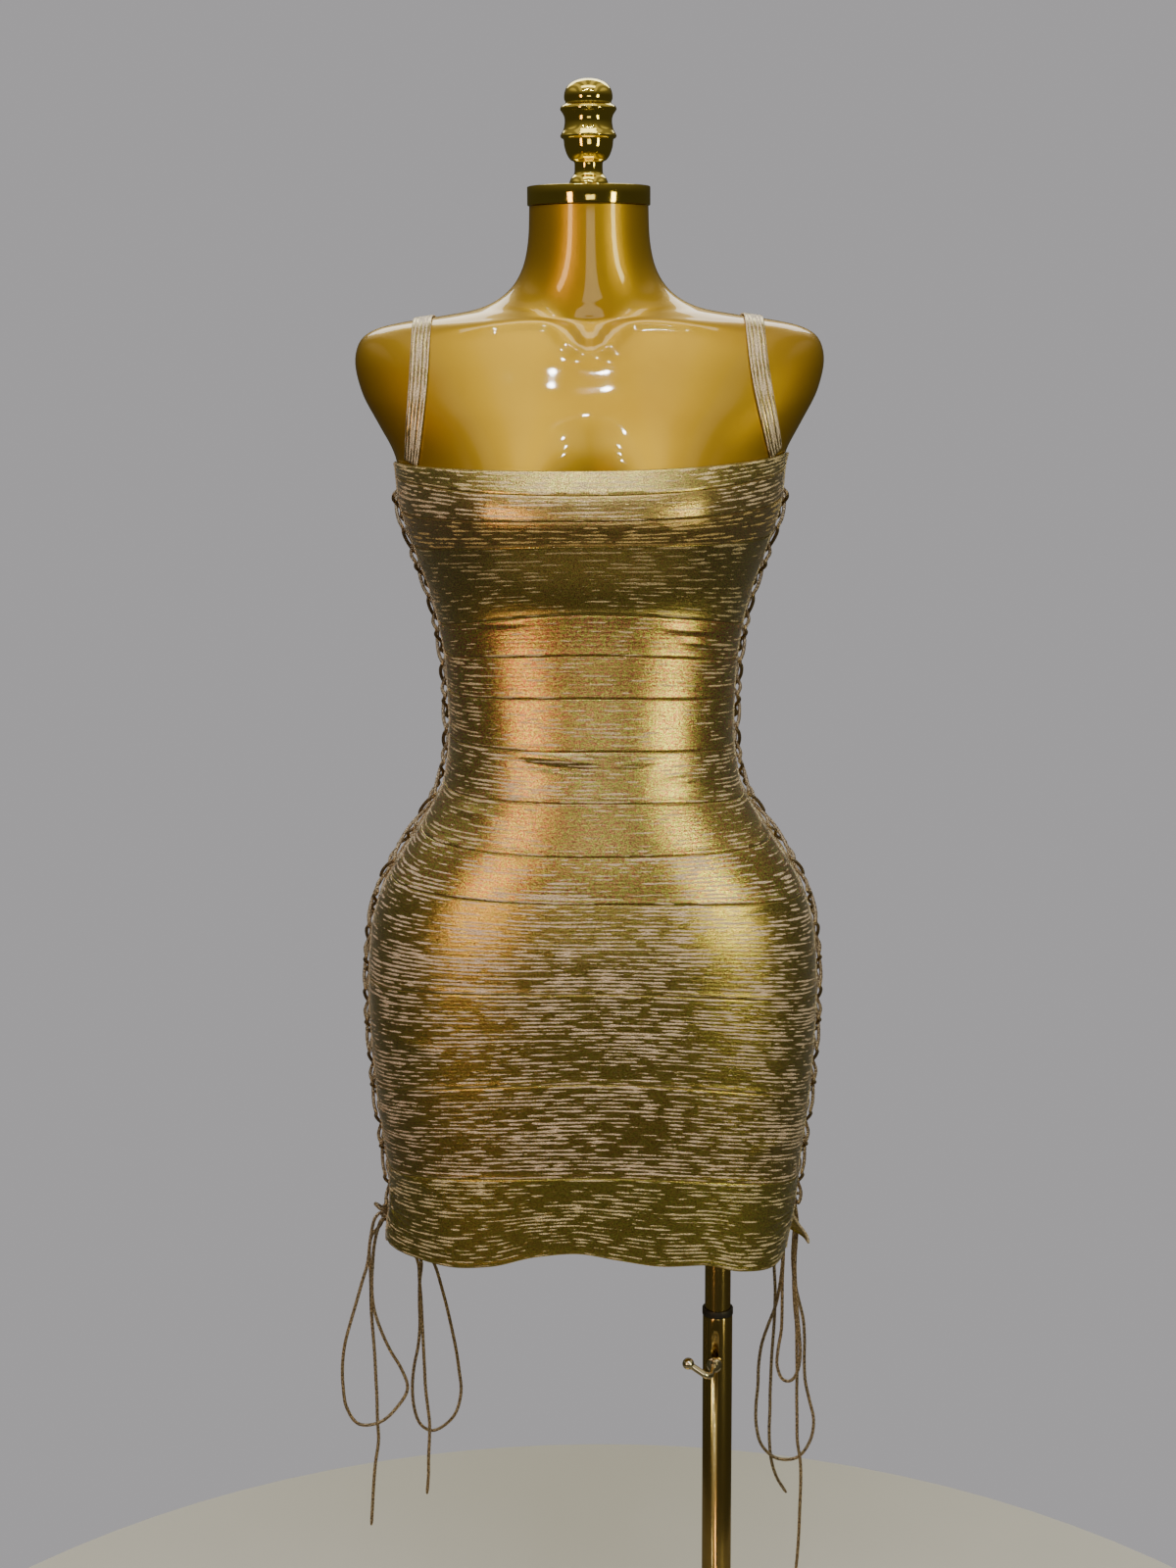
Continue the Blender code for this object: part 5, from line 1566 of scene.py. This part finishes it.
ROUTES = {
    "left_loop_front": CordRoute(Side.LEFT, (-0.85, -0.50, 0.15), [
        (-0.1865, -0.0085, 0.636), (-0.190, -0.010, 0.6185), (-0.1925, -0.010, 0.599),
        (-0.198, -0.0095, 0.5805), (-0.2035, -0.0095, 0.5615), (-0.209, -0.0095, 0.543),
        (-0.214, -0.009, 0.524), (-0.2165, -0.0085, 0.5045), (-0.2165, -0.008, 0.485),
        (-0.214, -0.0075, 0.4655), (-0.204, -0.0065, 0.4495), (-0.1855, -0.005, 0.4505),
        (-0.171, -0.004, 0.4635), (-0.1615, -0.0035, 0.4805), (-0.1665, -0.002, 0.498),
        (-0.176, -0.0015, 0.5155), (-0.1835, -0.001, 0.5335), (-0.189, -0.0005, 0.5525),
        (-0.1905, -0.0005, 0.572), (-0.1895, 0.0, 0.5915), (-0.1875, -0.001, 0.611),
        (-0.184, -0.003, 0.626)], (-0.60, -0.55, -0.60)),
    "left_end_front": CordRoute(Side.LEFT, (-0.50, 0.10, -0.85), [
        (-0.183, 0.004, 0.626), (-0.190, 0.006, 0.617), (-0.1925, 0.006, 0.604),
        (-0.192, 0.006, 0.587), (-0.192, 0.006, 0.567), (-0.192, 0.006, 0.547),
        (-0.191, 0.006, 0.527), (-0.190, 0.006, 0.507), (-0.1895, 0.006, 0.487),
        (-0.189, 0.006, 0.4675), (-0.189, 0.006, 0.4475), (-0.1885, 0.006, 0.4275),
        (-0.1915, 0.006, 0.4075), (-0.1935, 0.006, 0.388), (-0.195, 0.006, 0.368),
        (-0.1965, 0.006, 0.348)], None),
    "left_loop_back": CordRoute(Side.LEFT, (-0.80, 0.55, 0.20), [
        (-0.1865, 0.011, 0.643), (-0.187, 0.020, 0.640), (-0.183, 0.032, 0.632),
        (-0.175, 0.045, 0.619), (-0.165, 0.056, 0.601), (-0.157, 0.062, 0.584),
        (-0.1525, 0.064, 0.5685), (-0.1545, 0.064, 0.5485), (-0.155, 0.0645, 0.5285),
        (-0.155, 0.065, 0.5085), (-0.157, 0.0655, 0.4885), (-0.161, 0.0665, 0.469),
        (-0.163, 0.0675, 0.449), (-0.162, 0.0685, 0.429), (-0.157, 0.070, 0.412),
        (-0.1465, 0.0715, 0.4045), (-0.1345, 0.073, 0.4095), (-0.1245, 0.074, 0.4215),
        (-0.120, 0.0755, 0.4405), (-0.1215, 0.076, 0.4605), (-0.124, 0.0765, 0.4805),
        (-0.1275, 0.077, 0.500), (-0.1315, 0.0775, 0.520), (-0.136, 0.078, 0.539),
        (-0.141, 0.078, 0.558), (-0.149, 0.075, 0.578), (-0.159, 0.067, 0.596),
        (-0.170, 0.053, 0.609), (-0.177, 0.038, 0.617), (-0.181, 0.025, 0.625),
        (-0.1815, 0.0145, 0.633)], (-0.65, 0.65, -0.40)),
    "left_end_back": CordRoute(Side.LEFT, (0.0, 0.25, -0.97), [
        (-0.1745, 0.0045, 0.622), (-0.174, 0.011, 0.611), (-0.170, 0.025, 0.600),
        (-0.164, 0.041, 0.591), (-0.158, 0.052, 0.582), (-0.1545, 0.057, 0.569),
        (-0.154, 0.057, 0.555), (-0.153, 0.057, 0.538), (-0.1525, 0.057, 0.521),
        (-0.152, 0.057, 0.504), (-0.1515, 0.057, 0.487), (-0.151, 0.057, 0.470),
        (-0.1505, 0.057, 0.453), (-0.149, 0.057, 0.436), (-0.1475, 0.057, 0.419),
        (-0.148, 0.057, 0.402), (-0.149, 0.057, 0.385), (-0.1495, 0.057, 0.3675),
        (-0.151, 0.057, 0.3505)], None),
    "right_loop_long": CordRoute(Side.RIGHT, (0.15, 0.55, -0.82), [
        (0.1675, 0.054, 0.620), (0.167, 0.0555, 0.603), (0.1665, 0.0565, 0.585),
        (0.166, 0.057, 0.5675), (0.164, 0.057, 0.548), (0.1605, 0.057, 0.529),
        (0.154, 0.057, 0.5105), (0.1485, 0.0575, 0.492), (0.146, 0.0575, 0.4725),
        (0.1455, 0.0575, 0.453), (0.144, 0.058, 0.4335), (0.1445, 0.0585, 0.414),
        (0.1495, 0.059, 0.395), (0.163, 0.0595, 0.382), (0.1815, 0.060, 0.3825),
        (0.193, 0.061, 0.398), (0.196, 0.0615, 0.4175), (0.192, 0.062, 0.4365),
        (0.188, 0.062, 0.4555), (0.187, 0.0625, 0.475), (0.187, 0.0625, 0.4945),
        (0.1855, 0.0625, 0.514), (0.181, 0.063, 0.533), (0.177, 0.063, 0.552),
        (0.1755, 0.063, 0.5715), (0.176, 0.0625, 0.590), (0.177, 0.0615, 0.608),
        (0.1765, 0.0585, 0.624)], (0.65, 0.72, -0.20)),
    "right_loop_short": CordRoute(Side.RIGHT, (0.10, -0.25, -0.95), [
        (0.167, 0.044, 0.620), (0.167, 0.043, 0.607), (0.166, 0.043, 0.591),
        (0.1655, 0.043, 0.575), (0.165, 0.043, 0.559), (0.165, 0.043, 0.5435),
        (0.165, 0.0425, 0.5275), (0.1645, 0.0425, 0.5115), (0.162, 0.042, 0.4955),
        (0.161, 0.0415, 0.480), (0.1655, 0.041, 0.467), (0.1735, 0.0405, 0.4655),
        (0.179, 0.0395, 0.475), (0.181, 0.0385, 0.4895), (0.1805, 0.038, 0.5045),
        (0.179, 0.0375, 0.520), (0.1775, 0.0375, 0.536), (0.1765, 0.037, 0.552),
        (0.1755, 0.037, 0.568), (0.1755, 0.037, 0.584), (0.1765, 0.0375, 0.600),
        (0.177, 0.040, 0.616)], (0.75, -0.45, -0.50)),
    "right_end_short": CordRoute(Side.RIGHT, (-0.15, 0.85, -0.50), [
        (0.1635, 0.0605, 0.628), (0.163, 0.064, 0.615), (0.162, 0.067, 0.600),
        (0.161, 0.069, 0.586), (0.160, 0.070, 0.572), (0.160, 0.070, 0.5575),
        (0.161, 0.070, 0.541), (0.161, 0.070, 0.524), (0.1605, 0.070, 0.5075),
        (0.1595, 0.070, 0.4905), (0.1585, 0.070, 0.474), (0.158, 0.070, 0.457),
        (0.1575, 0.070, 0.4405), (0.1575, 0.070, 0.4235), (0.157, 0.070, 0.407),
        (0.1575, 0.070, 0.390), (0.1595, 0.070, 0.3735), (0.1645, 0.070, 0.3575),
        (0.173, 0.070, 0.343)], None),
    "right_end_long": CordRoute(Side.RIGHT, (0.70, 0.20, -0.68), [
        (0.176, 0.050, 0.622), (0.177, 0.0505, 0.609), (0.1765, 0.050, 0.594),
        (0.1755, 0.050, 0.577), (0.1755, 0.050, 0.555), (0.1765, 0.050, 0.5335),
        (0.1785, 0.050, 0.512), (0.179, 0.050, 0.4905), (0.1795, 0.050, 0.469),
        (0.1795, 0.050, 0.447), (0.180, 0.050, 0.4255), (0.1805, 0.050, 0.404),
        (0.1835, 0.050, 0.3825), (0.184, 0.050, 0.361), (0.1835, 0.050, 0.3395),
        (0.183, 0.050, 0.3175), (0.182, 0.050, 0.296), (0.1805, 0.050, 0.2745),
        (0.180, 0.050, 0.253)], None),
}


@dataclass
class Bows:
    """The loops and the free ends that hang from both knots."""

    wardrobe: Wardrobe
    stub: float = 0.0030
    spacing: float = 0.0020
    seal: float = 0.0035
    tip_share: float = 0.55

    def build(self) -> None:
        for name, route in ROUTES.items():
            leaving = [knot_exit(route.side, route.leaves, out) for out in (0.0, self.stub)]
            middle = [leaving[1], *(np.array(point) for point in route.points)]
            ending = []
            if route.returns:
                ending = [knot_exit(route.side, route.returns, out) for out in (self.stub, 0.0)]
                middle.append(ending[0])
            path = np.vstack([leaving[0], flowing_line(np.array(middle), self.spacing),
                              *ending[1:]])
            path = even_line(path, self.spacing)
            length = along(path)
            radius = np.full(len(path), CORD_RADIUS)
            if not route.returns:
                left = (length[-1] - length) / self.seal
                swell = (1.0 - self.tip_share) * np.clip(left, 0.0, 1.0) ** 0.5
                radius = CORD_RADIUS * (self.tip_share + swell)
            piece = finish_mesh(f"{name}_cord", lace_tube(path, radius), sharp=80.0)
            dress_up(piece, self.wardrobe.lace, "lace_cord", FIGURE, name)


# -------------------------------------------------------------------------- stand
@dataclass
class Stand:
    """Base, telescopic pole, bush, socket and the ball-ended clamp screw."""

    wardrobe: Wardrobe
    pole_x: float = 0.1060
    mast_radius: float = 0.0110
    mast_bore: float = 0.0096
    mast_bottom: float = 0.120
    tube_radius: float = 0.0127
    tube_bore: float = 0.0113
    tube_top: float = 0.5467
    bush_radius: float = 0.0132
    bush_height: float = 0.0060
    base_radius: float = 0.165
    base_height: float = 0.008
    collar_radius: float = 0.0220
    collar_height: float = 0.0260
    socket_height: float = 0.0180
    socket_radius: float = 0.0155
    flange_radius: float = 0.0270
    flange_height: float = 0.0035
    screw_height: float = 0.5070
    screw_turn: float = math.radians(12.0)
    screw_radius: float = 0.00275
    screw_hole: float = 0.0031
    screw_reach: float = 0.0430
    screw_bend: float = 0.0060
    screw_arm: float = 0.0215
    arm_rise: float = math.radians(32.0)
    ball_radius: float = 0.0050
    boss_radius: float = 0.0064
    boss_length: float = 0.0060
    mast_gap: float = 0.0005
    foot_bevel: float = 0.0018
    drill_depth: float = 0.010
    thread_depth: float = 0.00022
    thread_pitch: float = 0.0010
    thread_end: float = 0.024

    def build(self) -> None:
        """Builds and dresses every fitting."""
        looks, x = self.wardrobe, self.pole_x
        flange_top = FORM_BOTTOM - SEAM_GAP
        low, neck = flange_top - self.socket_height, flange_top - self.flange_height
        socket = spun("socket_fitting", [
            (self.tube_bore, low), (self.socket_radius, low), (self.socket_radius, neck),
            (self.flange_radius, neck), (self.flange_radius, flange_top),
            (self.tube_bore, flange_top)], x, bevel=0.0006)
        dress_up(socket, looks.tube, "pole_metal", FIGURE, "pole_socket")
        mast = self._pipe("sliding_mast", self.mast_radius, self.mast_bore, self.mast_bottom,
                          flange_top - self.mast_gap)
        dress_up(mast, looks.tube, "pole_metal", MAST, "inner_tube")
        foot = self.base_height + SEAM_GAP
        tube = self._pipe("outer_pole", self.tube_radius, self.tube_bore, foot, self.tube_top)
        self._drill(tube)
        dress_up(tube, looks.tube, "pole_metal", STAND, "lower_tube")
        ring = self._pipe("pole_bush", self.bush_radius, self.tube_bore, self.tube_top + SEAM_GAP,
                          self.tube_top + SEAM_GAP + self.bush_height)
        dress_up(ring, looks.bush, "black_bush", STAND, "tube_bush")
        collar = self._pipe("pole_collar", self.collar_radius, self.tube_radius + SEAM_GAP, foot,
                            foot + self.collar_height, self.foot_bevel)
        dress_up(collar, looks.tube, "pole_metal", STAND, "base_collar")
        disc = spun("round_base", [
            (0.0, 0.0), (self.base_radius, 0.0), (self.base_radius, self.base_height),
            (0.0, self.base_height)], bevel=self.foot_bevel, sides=160)
        dress_up(disc, looks.base, "base_metal", STAND, "base_disc")
        self._clamp()

    def _pipe(self, name: str, outer: float, inner: float, low: float, top: float,
              bevel: float = 0.0005) -> bpy.types.Object:
        """A length of tube on the pole's axis."""
        return spun(name, [(inner, low), (outer, low), (outer, top), (inner, top)],
                    self.pole_x, bevel=bevel)

    def _drill(self, tube: bpy.types.Object) -> None:
        """Bores the clamp screw's hole through the outer pole."""
        shape = bmesh.new()
        bmesh.ops.create_cone(shape, cap_ends=True, segments=32, radius1=self.screw_hole,
                              radius2=self.screw_hole, depth=self.drill_depth)
        turn = self._frame() @ Matrix.Translation((0.0, 0.0, self.tube_radius))
        bmesh.ops.transform(shape, matrix=turn, verts=shape.verts)
        drill = finish_mesh("drill", shape)
        hole = tube.modifiers.new("hole", "BOOLEAN")
        hole.operation = "DIFFERENCE"
        hole.object = drill
        bpy.context.view_layer.update()
        bored = bpy.data.meshes.new_from_object(
            tube.evaluated_get(bpy.context.evaluated_depsgraph_get()))
        tube.modifiers.clear()
        tube.data = bored
        bpy.data.objects.remove(drill)

    @property
    def _way(self) -> tuple[float, float, float]:
        """The direction from the pole out along the screw."""
        return (-math.sin(self.screw_turn), -math.cos(self.screw_turn), 0.0)

    def _frame(self) -> Matrix:
        """Places +Z along the screw, with the pole's axis at the origin."""
        out = Vector(self._way)
        turn = Vector((0.0, 0.0, 1.0)).rotation_difference(out).to_matrix().to_4x4()
        return Matrix.Translation((self.pole_x, 0.0, self.screw_height)) @ turn

    def _clamp(self) -> None:
        """The threaded boss and the bent screw with its ball."""
        start = self.tube_radius + SEAM_GAP
        boss = spun("clamp_boss", [
            (self.screw_hole, start), (self.boss_radius, start),
            (self.boss_radius, start + self.boss_length),
            (self.screw_hole, start + self.boss_length)], sides=48, bevel=0.0005)
        boss.data.transform(self._frame())
        dress_up(boss, self.wardrobe.screw, "screw_metal", STAND, "screw_boss")
        out = np.array(self._way)
        across = np.array((-math.cos(self.screw_turn), math.sin(self.screw_turn), 0.0))
        arm = across * math.cos(self.arm_rise) + np.array((0.0, 0.0, math.sin(self.arm_rise)))
        centre = np.array((self.pole_x, 0.0, self.screw_height))
        bend = self.screw_reach - self.screw_bend
        path = [out * (self.mast_radius + SEAM_GAP), out * bend]
        for angle in np.linspace(0.0, math.pi / 2.0, 12)[1:]:
            path.append(out * (bend + self.screw_bend * math.sin(angle))
                        + arm * self.screw_bend * (1.0 - math.cos(angle)))
        elbow = out * self.screw_reach
        path.append(elbow + arm * (self.screw_arm - self.ball_radius * 0.98))
        for share in np.sin(np.linspace(-1.35, 1.5, 18)):
            path.append(elbow + arm * (self.screw_arm + self.ball_radius * share))
        path = even_line(np.array(path), 0.0004)
        beyond = (path - elbow) @ arm - self.screw_arm
        ball = np.sqrt(np.clip(self.ball_radius**2 - beyond**2, 0.0, None))
        on_arm = (path - elbow) @ arm > self.screw_bend
        least = np.where(beyond < 0.0, self.screw_radius, 0.0004)
        radius = np.where(on_arm, np.maximum(ball, least), self.screw_radius)
        depth = path @ out
        thread = self.thread_depth * (0.5 + 0.5 * np.sin(depth / self.thread_pitch * math.tau))
        radius = radius - np.where((depth < self.thread_end) & ~on_arm, thread, 0.0)
        shape = tube_mesh(path + centre, radius, 28)
        screw = finish_mesh("ball_screw", shape, sharp=60.0)
        dress_up(screw, self.wardrobe.screw, "screw_metal", SCREW, "clamp_screw")


# ------------------------------------------------------------------------- studio
class Lamp(NamedTuple):
    """One soft light: where it is, where it points, its size, power and colour."""

    place: tuple[float, float, float]
    aim: tuple[float, float, float]
    size: tuple[float, float]
    power: float
    colour: Colour
    mirrored: bool = True


@dataclass
class Studio:
    """Camera, soft lights, pale floor and backdrop."""

    camera_place: tuple[float, float, float] = (-0.0030, -1.90, 1.38)
    camera_pitch: float = math.radians(11.0)
    camera_roll: float = math.radians(-0.30)
    lens: float = 54.09
    backdrop: Colour = (0.39, 0.38, 0.39)
    lamps: tuple[Lamp, ...] = (
        Lamp((-1.45, -2.05, 1.10), (0.0, 0.0, 0.98), (0.36, 1.2), 14.0, (1.0, 0.58, 0.28)),
        Lamp((1.85, -1.75, 1.10), (0.0, 0.0, 0.98), (0.36, 1.2), 17.0, (1.0, 0.90, 0.45)),
        Lamp((0.15, -2.9, 1.08), (0.0, 0.0, 1.0), (0.8, 0.6), 3.6, (1.0, 0.88, 0.62)),
        Lamp((0.0, -2.3, 2.8), (0.0, 0.0, 1.0), (1.8, 1.0), 62.0, (1.0, 0.97, 0.93), False),
        Lamp((0.0, -0.75, 3.0), (0.0, 0.0, 1.2), (1.6, 0.5), 9.0, (1.0, 0.95, 0.80)),
        Lamp((0.0, 1.6, 2.7), (0.0, 0.0, 1.0), (2.4, 1.0), 26.0, (0.95, 0.98, 1.0)),
    )
    spots: tuple[tuple[float, float, float], ...] = (
        (-0.95, -1.9, 2.75), (-0.72, -1.8, 2.8), (-0.50, -1.7, 2.85), (-0.16, -1.6, 2.9),
        (0.04, -1.6, 2.9), (0.34, -1.7, 2.85), (0.56, -1.8, 2.8), (0.80, -1.9, 2.75))
    spot_aim: tuple[float, float, float] = (0.0, 0.0, 1.2)
    spot_size: float = 0.045
    spot_power: float = 1.1

    def build(self) -> None:
        """Builds the whole setting."""
        self._camera()
        self._world()
        self._floor()
        for number, lamp in enumerate(self.lamps, start=1):
            self._light(f"soft_light_{number}", "RECTANGLE", lamp)
        for number, place in enumerate(self.spots, start=1):
            lamp = Lamp(place, self.spot_aim, (self.spot_size, self.spot_size), self.spot_power,
                        (1.0, 1.0, 1.0))
            self._light(f"small_light_{number}", "DISK", lamp)

    @staticmethod
    def _light(name: str, outline: str, lamp: Lamp) -> None:
        """One area light."""
        data = bpy.data.lights.new(name, "AREA")
        data.shape = outline
        data.size, data.size_y = lamp.size
        data.energy = lamp.power
        data.color = lamp.colour
        light = link(name, data)
        light.location = lamp.place
        light.visible_glossy = lamp.mirrored
        way = Vector(lamp.aim) - Vector(lamp.place)
        light.rotation_euler = way.to_track_quat("-Z", "Y").to_euler()

    def _camera(self) -> None:
        """The camera, a little above and looking slightly down."""
        data = bpy.data.cameras.new("camera")
        data.sensor_fit = "AUTO"
        data.sensor_width = 36.0
        data.lens = self.lens
        camera = link("camera", data)
        camera.location = self.camera_place
        forward = Vector((0.0, math.cos(self.camera_pitch), -math.sin(self.camera_pitch)))
        turn = forward.to_track_quat("-Z", "Y").to_matrix().to_4x4()
        roll = Matrix.Rotation(self.camera_roll, 4, "Z")
        camera.rotation_euler = (turn @ roll).to_euler()
        bpy.context.scene.camera = camera

    def _world(self) -> None:
        """A pale backdrop that reflects as a dim room with a bright ceiling."""
        world = bpy.data.worlds.new("studio")
        world.use_nodes = True
        bpy.context.scene.world = world
        tree = world.node_tree
        sums = Sums(tree)
        back = tree.nodes["Background"]
        place = add_node(tree, "ShaderNodeSeparateXYZ",
                         {0: add_node(tree, "ShaderNodeTexCoord").outputs["Generated"]})
        height = place.outputs[2]
        room = sums.mix(sums.ramp(height, 0.05, 0.85), (0.045, 0.041, 0.022), (0.26, 0.23, 0.14))
        panels = sums.do("SINE", sums.do("MULTIPLY", place.outputs[0], 9.0))
        lit = sums.do("MULTIPLY", sums.ramp(sums.do("ABSOLUTE", panels), 0.45, 0.95),
                      sums.ramp(height, 0.35, 0.60))
        room = sums.mix(lit, room, (0.62, 0.55, 0.36))
        seen = add_node(tree, "ShaderNodeLightPath").outputs["Is Camera Ray"]
        colour = sums.mix(seen, room, self.backdrop)
        tree.links.new(colour, back.inputs["Color"])
        back.inputs["Strength"].default_value = 1.0

    def _floor(self) -> None:
        """A pale floor that isn't part of the object; to reflections and bounced light it is dark,
        which paints darker reflections and shade onto what faces down.
        """
        shape = bmesh.new()
        bmesh.ops.create_circle(shape, cap_ends=True, segments=96, radius=0.85)
        bmesh.ops.translate(shape, verts=shape.verts, vec=(0.0, 0.0, -0.0004))
        floor = finish_mesh("floor", shape, outward=False)
        shade = Shader("pale_floor", Roughness=0.55)
        place = shade.node("ShaderNodeTexCoord")
        sums = Sums(shade.tree)
        cloud = sums.noise(place.outputs["Object"], detail=4.0, scale=2.2)
        pale = sums.mix(cloud, (0.50, 0.50, 0.47), (0.60, 0.60, 0.58))
        seen = shade.node("ShaderNodeLightPath").outputs["Is Camera Ray"]
        # To the camera the floor is pale; to every other ray it is this dark brown: a painted dark
        # reflection and painted shade on the surfaces of the dress and form that face down.
        colour = sums.mix(seen, (0.11, 0.10, 0.07), pale)
        shade.feed(colour, "Base Color")
        floor.data.materials.append(shade.material)


def main() -> None:
    """Builds the looks round the frame."""
    logging.basicConfig(level=logging.INFO, format="%(name)s: %(message)s")
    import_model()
    torso, wardrobe = Torso(), Wardrobe()
    Studio().build()
    Bows(wardrobe).build()
    Laces(torso, wardrobe).build()
    DressForm(torso, wardrobe).build()
    NeckFittings(wardrobe).build()
    KnitBands(torso, wardrobe).build()
    Piping(torso, wardrobe).build()
    Straps(torso, wardrobe).build()
    Stand(wardrobe).build()


if __name__ == "__main__":
    main()
